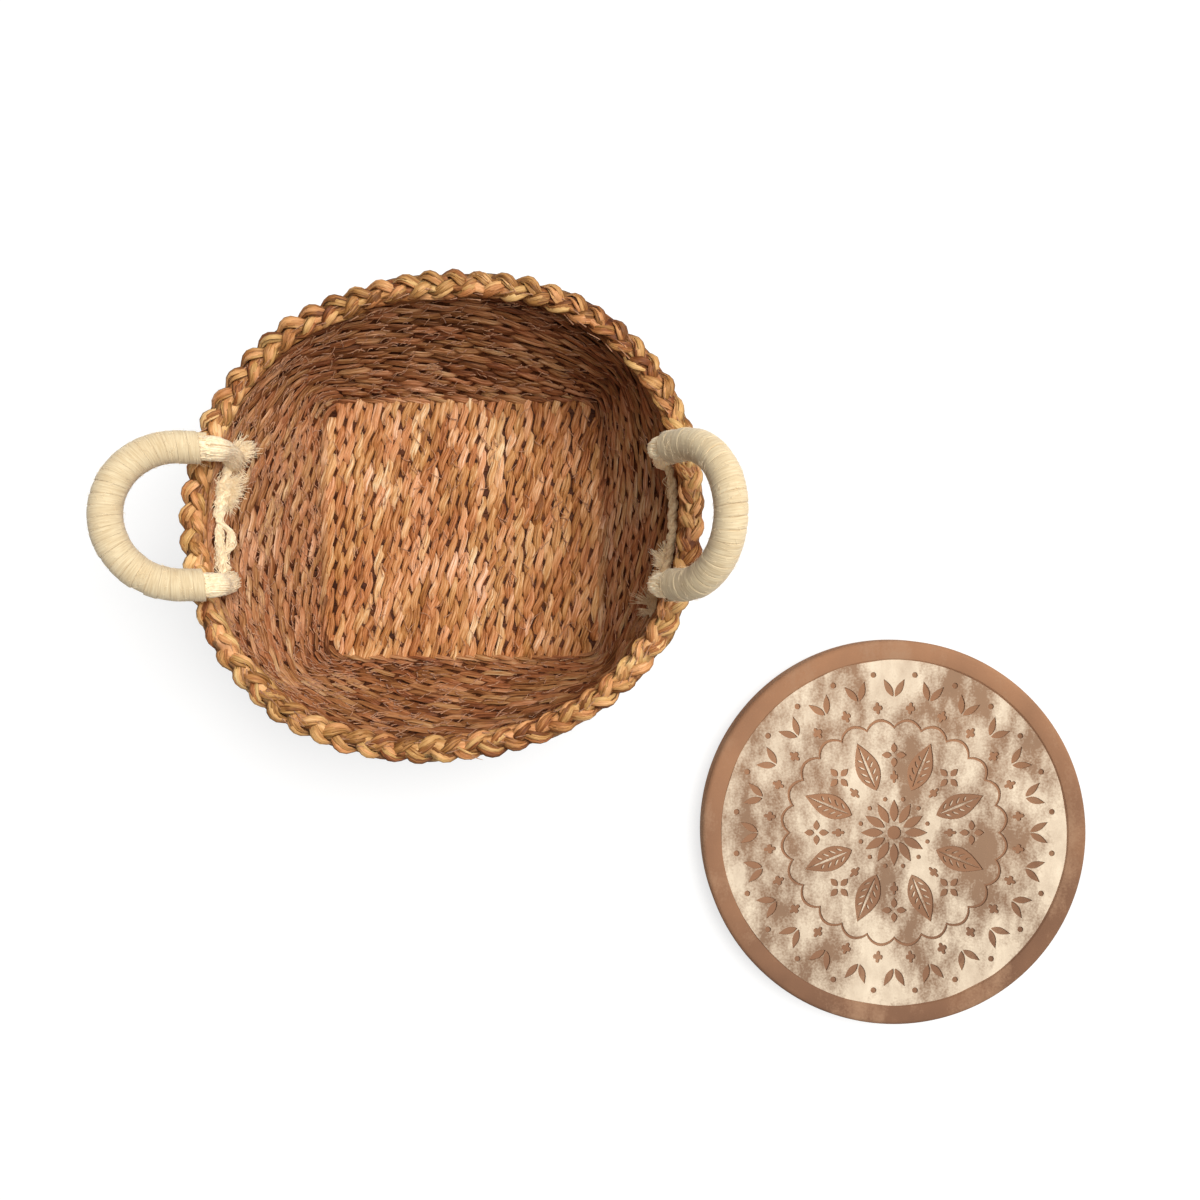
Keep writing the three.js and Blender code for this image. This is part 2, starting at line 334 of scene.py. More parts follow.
@dataclass
class Strand:
    """One blade, ply or fibre that is swept along a line.

    Attributes:
        points: Points of its middle line.
        radii: Size of its section along the line, where 1 is the profile as drawn.
        tilts: Turn of its section round the line.
        closed: Whether it closes on itself.
        stitches: How many stitches it counts along its length.
        number: Its number in the piece, which its material reads.
        first: Where its count of stitches starts.
        part: Which part of a bundle it is, and of how many.
    """

    points: Array
    radii: Array | float = 1.0
    tilts: Array | float = 0.0
    closed: bool = False
    stitches: float = 1.0
    number: int = 0
    first: float = 0.0
    part: tuple[int, int] = (0, 1)

    def mesh(self, outline: Thing) -> Mesh:
        """Sweeps a section along the strand.

        Args:
            outline: Curve object of the section.

        Returns:
            A mesh whose UV map counts stitches along the strand, and its number plus the turn
            round it.
        """
        curve = new_curve(
            "strand",
            dimensions="3D",
            twist_mode="Z_UP",
            bevel_mode="OBJECT",
            bevel_object=outline,
            use_fill_caps=True,
        )
        add_line(curve, self.points, self.closed, radius=self.radii, tilt=self.tilts)
        mesh = curve_mesh(curve)
        layer = mesh.uv_layers[0]
        layer.name = "UVMap"
        flat = np.empty(len(mesh.loops) * 2, dtype=np.float32)
        layer.data.foreach_get("uv", flat)
        place, parts = self.part
        flat[0::2] = self.first + flat[0::2] * self.stitches
        flat[1::2] = (0.02 + 0.96 * flat[1::2] + place) / parts + self.number
        layer.data.foreach_set("uv", flat)
        return mesh


@dataclass(frozen=True)
class BladeProfile:
    """Creased oval section of a twisted grass blade.

    Attributes:
        half_width: Half of the section's width.
        half_height: Half of its thickness.
        sides: Number of corners.
        crease: How far every other corner is drawn in, as a share of the radius.
        seed: Seed of the crease depths.
    """

    half_width: float
    half_height: float
    sides: int
    crease: float
    seed: int

    def outline(self) -> Thing:
        """Draws the section as a flat closed curve, for a strand's bevel.

        Returns:
            The curve's object.
        """
        corner = np.arange(self.sides)
        drawn = 1 - self.crease * seeded(self.seed).uniform(0.3, 1.2, self.sides) * (corner % 2)
        turn = FULL_TURN * corner / self.sides
        across = self.half_width * drawn * np.cos(turn)
        curve = new_curve("section", dimensions="2D")
        add_line(curve, columns(across, self.half_height * drawn * np.sin(turn), 0.0), True)
        return linked("section", curve)


def swept(strands: list[Strand], profiles: list[BladeProfile]) -> Shape:
    """Sweeps several strands into one shape, taking the profiles in turn.

    Args:
        strands: The strands.
        profiles: Their sections.

    Returns:
        Their shape.
    """
    outlines = [profile.outline() for profile in profiles]
    count = len(outlines)
    shape = gathered(each.mesh(outlines[(each.number + each.part[0]) % count]) for each in strands)
    for outline in outlines:
        drop(outline)
    return welded(shape)


def fibres(lines: list[Array], thickness: float) -> Shape:
    """Sweeps thin fibres along many lines at once, each tapering towards its free end.

    Args:
        lines: Points of each fibre.
        thickness: Radius of a fibre at its thickest.

    Returns:
        Their shape.
    """
    curve = new_curve(
        "fibres",
        dimensions="3D",
        twist_mode="MINIMUM",
        bevel_depth=thickness,
        bevel_resolution=0,
        use_fill_caps=True,
    )
    for line in lines:
        add_line(curve, line, radius=np.linspace(1, 0.35, len(line)))
    return welded(gathered([curve_mesh(curve)]))


def merged(first: Shape, second: Shape) -> Shape:
    """Adds the second shape to the first one.

    Args:
        first: The shape to add to.
        second: The other shape, which is used up.

    Returns:
        The first shape.
    """
    mesh = bpy.data.meshes.new("part")
    second.to_mesh(mesh)
    second.free()
    first.from_mesh(mesh)
    bpy.data.meshes.remove(mesh)
    return first


def piece(
    shape: Shape,
    name: str,
    material: Material,
    slot: Slot,
    *nodes: str,
    body: str | None = "basket",
    smooth: bool = True,
) -> Thing:
    """Makes a finished object of a shape and ties it to the frame.

    Args:
        shape: The shape, in its place, which is used up.
        name: Name of the piece.
        material: Its material.
        slot: Material slot of the record that it takes its finish from; not used.
        nodes: CAD nodes that it stands for.
        body: Body that it rides on, or None where it rides on none.
        smooth: Whether its faces are shaded smooth.

    Returns:
        The object.
    """
    mesh = bpy.data.meshes.new(name)
    shape.to_mesh(mesh)
    shape.free()
    mesh.polygons.foreach_set("use_smooth", np.full(len(mesh.polygons), smooth))
    mesh.materials.append(material)
    made = linked(name, mesh)
    if nodes:
        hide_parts(*nodes)
    if body is not None:
        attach(made, body)
    LOG.info("%s: %d vertices, for %s", name, len(mesh.vertices), ", ".join(nodes) or "no node")
    return made


class Sheet:
    """A node tree with short ways to write on it."""

    def __init__(self, tree: Tree) -> None:
        """Takes the tree to write on."""
        self.tree = tree

    def feed(self, node: Node, inputs: dict) -> None:
        """Links sockets to a node's inputs, and sets plain values on them, by name or number.

        Args:
            node: The node.
            inputs: Its sockets or plain values.
        """
        for name, value in inputs.items():
            socket = node.inputs[name]
            if isinstance(value, Socket):
                self.tree.links.new(value, socket)
            else:
                socket.default_value = value

    def put(self, kind: str, inputs: dict | None = None, **settings: object) -> Node:
        """Adds a shader node with its inputs and its properties.

        Args:
            kind: Node type, without the words that all of them begin with.
            inputs: Sockets or plain values for its inputs, by name or number.
            settings: Its properties.

        Returns:
            The node.
        """
        node = with_settings(self.tree.nodes.new(f"ShaderNode{kind}"), **settings)
        self.feed(node, inputs or {})
        return node

    def maths(self, operation: str, *values: object) -> Socket:
        """Adds a Math node on sockets or numbers and returns its result."""
        return self.put("Math", dict(enumerate(values)), operation=operation).outputs[0]

    def total(self, *parts: tuple[object, object]) -> Socket:
        """Adds up values, each times its own weight.

        Args:
            parts: Pairs of a value and its weight.

        Returns:
            The sum.
        """
        result, *others = [self.maths("MULTIPLY", value, weight) for value, weight in parts]
        for other in others:
            result = self.maths("ADD", result, other)
        return result

    def spread(
        self, value: object, low: object, high: object, to_low: float = 0.0, to_high: float = 1.0
    ) -> Socket:
        """Maps a value from one range to another, clamped, and returns the result."""
        inputs = dict(enumerate((value, low, high, to_low, to_high)))
        return self.put("MapRange", inputs).outputs[0]

    def mixed(self, share: object, first: object, second: object, how: str = "MIX") -> Socket:
        """Adds a colour Mix node and returns its result."""
        inputs = {0: share, 6: first, 7: second}
        return self.put("Mix", inputs, data_type="RGBA", blend_type=how).outputs[2]

    def tinted(self, share: object, colour: object, tint: object) -> Socket:
        """Mixes a colour with the same colour times a tint."""
        return self.mixed(share, colour, self.mixed(1.0, colour, tint, "MULTIPLY"))

    def ramp(self, value: Socket, colours: tuple[Colour, ...], low: float, high: float) -> Socket:
        """Lays colours evenly between two values and returns the colour at a value.

        Args:
            value: The value to look up.
            colours: The colours.
            low: Where the first one lies.
            high: Where the last one lies.

        Returns:
            The colour.
        """
        node = self.put("ValToRGB", {0: value})
        elements = node.color_ramp.elements
        while len(elements) < len(colours):
            elements.new(0.5)
        for element, place, colour in zip(elements, np.linspace(low, high, len(colours)), colours):
            element.position = place
            element.color = colour
        return node.outputs[0]

    def noise(self, vector: object, scale: object, detail: float, roughness: float = 0.5) -> Socket:
        """Adds a noise texture and returns its value."""
        inputs = {"Vector": vector, "Scale": scale, "Detail": detail, "Roughness": roughness}
        return self.put("TexNoise", inputs).outputs[0]

    def bump(self, height: Socket, strength: float, distance: float) -> Socket:
        """Adds a Bump node and returns its normal."""
        inputs = {"Height": height, "Strength": strength, "Distance": distance}
        return self.put("Bump", inputs).outputs[0]

    def split(self, vector: object) -> list[Socket]:
        """Takes a vector or a colour apart into its three numbers."""
        return list(self.put("SeparateXYZ", {0: vector}).outputs)

    def joined(self, *parts: object) -> Socket:
        """Makes a vector of three numbers."""
        return self.put("CombineXYZ", dict(enumerate(parts))).outputs[0]

    def place(self) -> Socket:
        """Place on the object."""
        return self.put("TexCoord").outputs["Object"]

    def group(self, tree: Tree, **inputs: object) -> dict[str, Socket]:
        """Places a node group with its own values and returns its outputs by name."""
        return self.put("Group", inputs, node_tree=tree).outputs


def open_group(
    name: str, given: dict[str, float | None], results: Iterable[str]
) -> tuple[Sheet, dict[str, Socket], Node]:
    """Starts a shader node group.

    Args:
        name: Name of the group.
        given: Default of each named input, or None where it is a vector.
        results: Names of its outputs, which are plain values.

    Returns:
        Its sheet, its input sockets by name, and its output node.
    """
    tree = bpy.data.node_groups.new(name, "ShaderNodeTree")
    for label, value in given.items():
        kind = "NodeSocketVector" if value is None else "NodeSocketFloat"
        socket = tree.interface.new_socket(label, in_out="INPUT", socket_type=kind)
        if value is not None:
            socket.default_value = value
    for label in results:
        tree.interface.new_socket(label, in_out="OUTPUT", socket_type="NodeSocketFloat")
    entry = tree.nodes.new("NodeGroupInput")
    inputs = {label: entry.outputs[label] for label in given}
    return Sheet(tree), inputs, tree.nodes.new("NodeGroupOutput")


class Effects:
    """Shader node groups that several materials share."""

    def __init__(self) -> None:
        """Builds the groups once."""
        self.fibre = self.build_fibre()
        self.drift = self.build_drift()
        self.rubbing = self.build_rubbing()

    def build_fibre(self) -> Tree:
        """Fibres along a strand: a tone and a hue for each stitch, streaks, their height, and the valley
        where strands cross, which carries painted shade.

        Returns:
            The group.
        """
        given = {"UV": None, "Streaks Along": 1.8, "Streaks Round": 11.0, "Seed": 0.0}
        results = ("Stitch", "Streak", "Height", "Valley", "Hue")
        sheet, inputs, leave = open_group("fibre_grain", given, results)
        along, about, _ = sheet.split(inputs["UV"])
        stitch = sheet.maths("FLOOR", along)
        strand = sheet.maths("FLOOR", about)
        key = sheet.joined(stitch, strand, inputs["Seed"])
        chance = sheet.put("TexWhiteNoise", {"Vector": key}, noise_dimensions="3D").outputs
        lay = sheet.joined(
            sheet.maths("MULTIPLY", along, inputs["Streaks Along"]),
            sheet.maths("MULTIPLY", about, inputs["Streaks Round"]),
            sheet.total((strand, 3.7), (inputs["Seed"], 1.0)),
        )
        streak = sheet.total((sheet.noise(lay, 1.0, 2.0), 0.6), (sheet.noise(lay, 3.4, 2.0), 0.4))
        # Valley is darkest where a strand dives under the other one, for painted shade there
        crossing = sheet.maths("COSINE", sheet.maths("MULTIPLY", along, math.pi))
        valley = sheet.maths("POWER", sheet.maths("ABSOLUTE", crossing), 4.0)
        hue = sheet.split(chance["Color"])[1]
        values = (chance["Value"], sheet.spread(streak, 0.38, 0.62), streak, valley, hue)
        sheet.feed(leave, dict(zip(results, values)))
        return sheet.tree

    def build_drift(self) -> Tree:
        """Slow drift of tone over a whole piece, from its place on the object.

        Returns:
            The group.
        """
        given = {"Vector": None, "Scale": 22.0}
        sheet, inputs, leave = open_group("tone_drift", given, ["Drift"])
        cloud = sheet.noise(inputs["Vector"], inputs["Scale"], 3.0)
        sheet.feed(leave, {"Drift": sheet.spread(cloud, 0.32, 0.68)})
        return sheet.tree

    def build_rubbing(self) -> Tree:
        """Cloudy rubbed patches with a scratchy edge.

        Returns:
            The group.
        """
        given = {"Vector": None, "Scale": 30.0, "Bare": 0.55, "Softness": 0.12}
        sheet, inputs, leave = open_group("rubbed_patches", given, ["Bare"])
        squeeze = {0: inputs["Vector"], 1: (1.0, 0.5, 1.0)}
        brushed = sheet.put("VectorMath", squeeze, operation="MULTIPLY").outputs[0]
        cloud = sheet.noise(brushed, inputs["Scale"], 6.0, 0.6)
        grain = sheet.maths("SUBTRACT", sheet.noise(inputs["Vector"], 900.0, 2.0), 0.5)
        low = sheet.maths("SUBTRACT", inputs["Bare"], inputs["Softness"])
        high = sheet.maths("ADD", inputs["Bare"], inputs["Softness"])
        worn = sheet.spread(sheet.total((cloud, 1.0), (grain, 0.16)), low, high)
        sheet.feed(leave, {"Bare": worn})
        return sheet.tree


def fresh(name: str) -> tuple[Material, Sheet, Node]:
    """Starts a material and returns it with its sheet and its Principled shader.

    Args:
        name: Its name.

    Returns:
        The material, its sheet and the shader.
    """
    material = bpy.data.materials.new(name)
    material.use_nodes = True
    return material, Sheet(material.node_tree), material.node_tree.nodes["Principled BSDF"]


@dataclass(frozen=True)
class GrassFinish:
    """Dried grass blades of mixed tones.

    Attributes:
        name: Name of the material.
        tones: Colours from the darkest blades to the palest.
        tint: Colour that the drift leans to.
        straw: Colour that some of the blades lean to.
        tint_share: How much they may lean.
        seed: Seed of the tones.
        roughness: Roughness of a blade's back.
        shade: How dark the dust and the painted shade between the blades are, where they dive under one
            another.
        mixture: How much the blades differ from one another.
        long_side_shade: How much darker the blades are towards the two long sides, as painted shade.
        right_shade: How much darker they are towards the stone's side, as painted shade from the right
            wall.
    """

    name: str
    tones: tuple[Colour, ...]
    tint: Colour
    straw: Colour
    tint_share: float
    seed: float
    roughness: float
    shade: float
    mixture: float = 0.4
    long_side_shade: float = 0.0
    right_shade: float = 0.0

    def material(self, effects: Effects) -> Material:
        """Builds the material.

        Args:
            effects: The shared node groups.

        Returns:
            The material.
        """
        material, sheet, shader = fresh(self.name)
        place = sheet.place()
        uv = sheet.put("UVMap", uv_map="UVMap").outputs[0]
        fibre = sheet.group(effects.fibre, UV=uv, Seed=self.seed)
        drift = sheet.group(effects.drift, Vector=place, Scale=20.0)["Drift"]
        patch = sheet.group(effects.drift, Vector=place, Scale=55.0)["Drift"]
        tone = sheet.total(
            (fibre["Stitch"], self.mixture), (fibre["Streak"], 0.8 - self.mixture), (drift, 0.2)
        )
        along, across, _ = sheet.split(place)
        # Painted shade: the blades turn darker towards the two long sides
        sideways = sheet.maths("ABSOLUTE", across)
        side_shade = sheet.spread(sideways, 0.04, 0.1, 0.0, self.long_side_shade)
        # Painted shade: the blades turn darker towards the right, where the right wall shades the floor
        right_side_shade = sheet.spread(along, 0.015, 0.075, 0.0, self.right_shade)
        tone = sheet.maths("SUBTRACT", sheet.maths("SUBTRACT", tone, side_shade), right_side_shade)
        colour = sheet.ramp(tone, self.tones, 0.12, 0.88)
        hue = sheet.total((fibre["Hue"], 0.65), (patch, 0.35))
        lean = sheet.mixed(sheet.spread(hue, 0.25, 0.75), self.tint, self.straw)
        blade = sheet.tinted(self.tint_share, colour, lean)
        # Painted shade, with some dust, where the blades dive under one another
        dust_and_shade = sheet.maths("MULTIPLY", fibre["Valley"], self.shade)
        rough = self.roughness + 0.12, self.roughness - 0.06
        finish = {
            "Base Color": sheet.tinted(dust_and_shade, blade, srgb(134, 78, 38)),
            "Roughness": sheet.spread(fibre["Streak"], 0, 1, *rough),
            "Specular IOR Level": 0.35,
            "Normal": sheet.bump(fibre["Height"], 0.8, 0.8 * MM),
        }
        sheet.feed(shader, finish)
        return material


@dataclass(frozen=True)
class FibreFinish:
    """Cream yarn, combed rope or loose fibre.

    Attributes:
        name: Name of the material.
        pale: Colour of the raised threads.
        deep: Colour between the threads.
        attribute: Attribute that follows the threads, or an empty word for fibres read by place.
        glow: Strength of a painted glow that stands in for the light that passes through a thick mass of
            fibres.
    """

    name: str
    pale: Colour
    deep: Colour
    attribute: str = ""
    glow: float = 0.0

    def material(self, effects: Effects) -> Material:
        """Builds the material.

        Args:
            effects: The shared node groups.

        Returns:
            The material.
        """
        material, sheet, shader = fresh(self.name)
        place = sheet.place()
        if self.attribute:
            source = {"attribute_name": self.attribute, "attribute_type": "GEOMETRY"}
            lay = sheet.put("Attribute", **source).outputs["Vector"]
            threads = sheet.noise(lay, 1.0, 3.0)
        else:
            threads = sheet.noise(place, 700.0, 3.0)
        drift = sheet.group(effects.drift, Vector=place, Scale=90.0)["Drift"]
        tone = sheet.total((sheet.spread(threads, 0.36, 0.64), 0.7), (drift, 0.3))
        colour = sheet.mixed(tone, self.deep, self.pale)
        finish = {
            "Base Color": colour,
            # Painted glow, standing in for light that passes through the fibres
            "Emission Color": colour,
            "Emission Strength": self.glow,
            "Roughness": 0.9,
            "Specular IOR Level": 0.2,
            "Sheen Weight": 0.25,
            "Sheen Roughness": 0.6,
            "Normal": sheet.bump(threads, 0.6, 0.4 * MM),
        }
        sheet.feed(shader, finish)
        return material


@dataclass(frozen=True)
class ClayFinish:
    """Fired brown clay with what is left of a cream wash.

    Attributes:
        name: Name of the material.
        clay: Colour of the bare clay.
        burnt: Darker colour of its clouds, and of the painted shade towards the lower right.
        wash: Colour of the wash.
        bare: How much of the wash is rubbed off, from 0 to 1 along the cloud's range.
    """

    name: str
    clay: Colour
    burnt: Colour
    wash: Colour
    bare: float

    def material(self, effects: Effects) -> Material:
        """Builds the material.

        Args:
            effects: The shared node groups.

        Returns:
            The material.
        """
        material, sheet, shader = fresh(self.name)
        place = sheet.place()
        drift = sheet.group(effects.drift, Vector=place, Scale=28.0)["Drift"]
        along, across, _ = sheet.split(place)
        # Painted shade: the clay turns darker towards the lower right, mixed with the drift's own clouds
        slope = sheet.total((across, 1.0), (along, -0.25))
        drift_and_shade = sheet.total((drift, 0.4), (sheet.spread(slope, -0.31, -0.13, 0, 0.6), 1.0))
        ground = sheet.mixed(drift_and_shade, self.burnt, self.clay)
        rubbed = {"Vector": place, "Scale": 34.0, "Bare": self.bare, "Softness": 0.09}
        patches = sheet.group(effects.rubbing, **rubbed)["Bare"]
        hazy = {"Vector": place, "Scale": 75.0, "Bare": self.bare + 0.06, "Softness": 0.2}
        haze = sheet.group(effects.rubbing, **hazy)["Bare"]
        patches = sheet.maths("MULTIPLY", patches, 0.9)
        worn = sheet.maths("MAXIMUM", patches, sheet.maths("MULTIPLY", haze, 0.5))
        grit = sheet.noise(place, 1400.0, 4.0, 0.7)
        relief = sheet.total((grit, 0.25), (sheet.noise(place, 60.0, 3.0), 1.0))
        finish = {
            "Base Color": sheet.mixed(worn, self.wash, ground),
            "Roughness": 0.9,
            "Specular IOR Level": 0.25,
            "Normal": sheet.bump(relief, 0.5, 1.2 * MM),
        }
        sheet.feed(shader, finish)
        return material


@dataclass(frozen=True)
class BasketForm:
    """Shape of the wall, from a rounded rectangle at the floor to the skewed oval of the rim.

    Attributes:
        foot_x: Half length of the wall's foot line.
        foot_y: Half width of it.
        sharpness: Exponent of its rounded corners.
        foot_height: Height of the foot line.
        top_height: Height of the wall's top line.
        bulge: How far the wall swells past a straight slope.
        half_wall: Half of the wall's thickness.
        rim_radius: Mean outer radius of the plait.
        ovality: How oval the rim is, turned by oval_turn.
        squareness: How square the rim is, turned by square_turn.
        braid_width: Width of the plait.
        braid_height: Height of its middle line.
        courses: Number of courses of the wall.
    """

    foot_x: float = 75.6 * MM
    foot_y: float = 70.6 * MM
    sharpness: float = 14.0
    foot_height: float = 1.6 * MM
    top_height: float = 72.55 * MM
    bulge: float = 5.0 * MM
    half_wall: float = 2.7 * MM
    rim_radius: float = 119.4 * MM
    ovality: float = 0.039
    oval_turn: float = math.radians(17)
    squareness: float = 0.011
    square_turn: float = math.radians(3)
    braid_width: float = 13.0 * MM
    braid_height: float = 79.0 * MM
    courses: int = 14

    def foot_radius(self, angle: Array | float) -> Array:
        """Distance of the wall's foot from the middle, at an angle.

        Args:
            angle: Angles round the basket.

        Returns:
            The distance at each.
        """
        along = np.abs(np.cos(angle)) / self.foot_x
        across = np.abs(np.sin(angle)) / self.foot_y
        return (along**self.sharpness + across**self.sharpness) ** (-1 / self.sharpness)

    def braid_radius(self, angle: Array | float) -> Array:
        """Distance of the plait's middle line from the middle, at an angle.

        Args:
            angle: Angles round the basket.

        Returns:
            The distance at each.
        """
        oval = self.ovality * np.cos(2 * (angle - self.oval_turn))
        square = self.squareness * np.cos(4 * (angle - self.square_turn))
        return self.rim_radius * (1 + oval - square) - self.braid_width / 2

    def wall(
        self,
        angle: Array | float,
        share: Array | float,
        outwards: Array | float = 0.0,
        upwards: Array | float = 0.0,
    ) -> tuple[Array, Array, Array]:
        """Finds the wall's middle surface.

        Args:
            angle: Angles round the basket.
            share: How far up the wall, from 0 to 1.
            outwards: Distance off the surface, away from the inside.
            upwards: Distance along the slope.

        Returns:
            Distance from the middle, height, and the angle of the slope.
        """
        foot = columns(self.foot_radius(angle), self.foot_height)
        top = columns(self.braid_radius(angle), self.top_height)
        run = (top - foot) / np.linalg.norm(top - foot, axis=-1, keepdims=True)
        middle = (foot + top) / 2 + self.bulge * columns(run[..., 1], -run[..., 0])
        way = np.asarray(share)[..., None]
        point = (1 - way) ** 2 * foot + 2 * way * (1 - way) * middle + way**2 * top
        tangent = (1 - way) * (middle - foot) + way * (top - middle)
        tangent = tangent / np.linalg.norm(tangent, axis=-1, keepdims=True)
        out, up = tangent[..., 0], tangent[..., 1]
        radius = point[..., 0] + up * outwards + out * upwards
        height = point[..., 1] - out * outwards + up * upwards
        return radius, height, np.arctan2(up, out)

    def even_angles(self, share: float | None, places: Array) -> Array:
        """Finds angles that lie at even distances along a course.

        Args:
            share: How far up the wall the course is, or None for the plait.
            places: Places along the course, from 0 to 1.

        Returns:
            The angle of each place.
        """
        dense = np.linspace(0, FULL_TURN, 2401)
        radius = self.braid_radius(dense) if share is None else self.wall(dense, share)[0]
        lengths = run_lengths(around(dense, radius, 0.0))
        whole = np.floor(places)
        return np.interp(places - whole, lengths / lengths[-1], dense) + FULL_TURN * whole

    def inner_point(self, angle: float, share: float, distance: float) -> Array:
        """A point off the inner face of the wall."""
        radius, height, _ = self.wall(angle, share, -(self.half_wall + distance))
        return around(angle, radius, height)


@dataclass(frozen=True)
class Twining:
    """How two strands are twined into one row or course.

    Attributes:
        swing: How far a strand swings to the side.
        lift: How far it swings to the face.
        gap: Distance between the middles of a strand's blades.
        steps: Points for each stitch.
        neck: Width of a strand where the two cross, as a share of its full width.
        hold: How much longer a strand lies on the face than behind it, where 0 is as long.
        unevenness: How much the stitches differ.
        blades: How many grass blades lie side by side in a strand.
    """

    swing: float
    lift: float
    gap: float
    steps: int = 8
    neck: float = 0.42
    hold: float = 0.5
    unevenness: float = 0.26
    blades: int = 3

    def marks(self, stitches: int, closed: bool) -> Array:
        """Places of a row's points, counted in stitches."""
        count = stitches * self.steps + (0 if closed else 1)
        return np.linspace(0, stitches, count, endpoint=not closed)

    def uneven(self, rng: Random, count: int) -> Array:
        """Sizes of stitches, which differ by chance."""
        return rng.uniform(1 - self.unevenness, 1 + self.unevenness, count)

    def stitched(self, rng: Random, stitches: int, closed: bool) -> Array:
        """Places along a row, from 0 to 1, with stitches of uneven length.

        Args:
            rng: Seeded source of its unevenness.
            stitches: Number of stitches.
            closed: Whether the row closes on itself.

        Returns:
            The places of its points.
        """
        lengths = self.uneven(rng, stitches)
        places = np.concatenate([[0.0], np.cumsum(lengths)]) / lengths.sum()
        return np.interp(self.marks(stitches, closed), np.arange(stitches + 1), places)

    def swings(
        self, rng: Random, stitches: int, phase: float, closed: bool
    ) -> tuple[Array, Array, Array]:
        """Finds how one of the two strands swings.

        Args:
            rng: Seeded source of its unevenness.
            stitches: Number of stitches.
            phase: Where its first stitch starts.
            closed: Whether the strand closes on itself.

        Returns:
            Its swing to the side, its lift and its width at each point.
        """
        marks = self.marks(stitches, closed)
        turn = math.pi * (marks + phase)
        sizes = self.uneven(rng, stitches + 1)
        if closed:
            sizes[-1] = sizes[0]
        size = np.interp(marks, np.arange(stitches + 1), sizes)
        shown = (np.sin(turn) + self.hold) / (1 + self.hold)
        proud = 0.9 + 0.1 * (size - 1) / self.unevenness
        lift = self.lift * np.tanh(2 * shown) / math.tanh(2) * proud
        front = np.clip((np.sin(turn) + 0.75) / 1.5, 0, 1) ** 0.8
        back = 0.9 * np.clip((-np.sin(turn) - 0.1) / 0.8, 0, 1) ** 0.8
        width = (self.neck + (1 - self.neck) * np.maximum(front, back)) * size
        slant = np.clip(1 + wander(rng, len(marks), stitches, 0.22, closed), 0.5, 1.5)
        return self.swing * slant * np.cos(turn), lift, width

    def bundle(
        self, rng: Random, width: Array, stitches: int, closed: bool
    ) -> list[tuple[Array, Array, Array]]:
        """Spreads the blades of one ply.

        Args:
            rng: Seeded source of their unevenness.
            width: Width of the ply at each point.
            stitches: Number of stitches.
            closed: Whether the ply closes on itself.

        Returns:
            Each blade's distance to the side and to the face, and its size, at each point.
        """
        count = len(width)
        laid = []
        for blade in range(self.blades):
            place = blade - (self.blades - 1) / 2
            aside = place * self.gap * width + wander(rng, count, stitches, 0.16 * MM, closed)
            height = (0.32 - 0.32 * abs(place)) * MM
            raised = height * width + wander(rng, count, stitches, 0.14 * MM, closed)
            chance = np.clip(1 + wander(rng, count, 2 * stitches, 0.13, closed), 0.6, 1.4)
            laid.append((aside, raised, (0.25 + 0.75 * width) * chance))
        return laid


def blade_profiles(seed: int) -> list[BladeProfile]:
    """Sections of the blades that are twined, in three widths.

    Args:
        seed: Seed of their creases.

    Returns:
        The three sections.
    """
    sizes = ((1.1, 0.75), (0.95, 0.8), (1.25, 0.65))
    return [
        BladeProfile(wide * MM, thick * MM, 8, 0.3, seed + 40 * turn)
        for turn, (wide, thick) in enumerate(sizes)
    ]


@dataclass(frozen=True)
class FloorMat:
    """Square floor of twined rows that run side by side.

    Attributes:
        rows: Number of rows.
        pitch: Length of a stitch.
        tuck: How far a row's ends go under the wall.
        corner_tuck: How far the ends of the outermost rows do.
        lowest: Height below which no blade's middle line goes.
        twining: How the rows are twined.
    """

    rows: int = 29
    pitch: float = 11.8 * MM
    tuck: float = 1.6 * MM
    corner_tuck: float = 4.0 * MM
    lowest: float = 1.1 * MM
    twining: Twining = Twining(swing=1.4 * MM, lift=1.45 * MM, gap=1.05 * MM)

    def row(self, number: int) -> Shape:
        """Twines one row.

        Args:
            number: Its number.

        Returns:
            Its shape.
        """
        rng = seeded(100 + number)
        low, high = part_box(f"floor_row_{number:02d}")
        tuck = self.tuck if 2 < number < self.rows - 1 else self.corner_tuck
        length = high.y - low.y + 2 * tuck
        stitches = round(length / self.pitch)
        phase = rng.uniform(0, 2)
        places = self.twining.stitched(rng, stitches, False)
        across = wander(rng, len(places), 7, 0.3 * MM)
        strands = []
        for ply in range(2):
            side, lift, width = self.twining.swings(rng, stitches, phase + ply, False)
            tilt = wander(rng, len(places), stitches, 0.3)
            bundle = self.twining.bundle(rng, width, stitches, False)
            for blade, (aside, raised, size) in enumerate(bundle):
                x = (low.x + high.x) / 2 - side + across + aside
                z = np.maximum((low.z + high.z) / 2 + 0.05 * MM + lift + raised, self.lowest)
                strand = Strand(
                    columns(x, low.y - tuck + length * places, z),
                    size,
                    tilt,
                    stitches=stitches / 2,
                    number=2 * number + ply,
                    first=(phase + ply) / 2 + 0.25,
                    part=(blade, self.twining.blades),
                )
                strands.append(strand)
        return swept(strands, blade_profiles(number))

    def build(self, grass: Material) -> None:
        """Makes every row.

        Args:
            grass: Material of the blades.
        """
        for number in range(1, self.rows + 1):
            node = f"floor_row_{number:02d}"
            piece(self.row(number), f"twined_{node}", grass, Slot.GRASS, node)


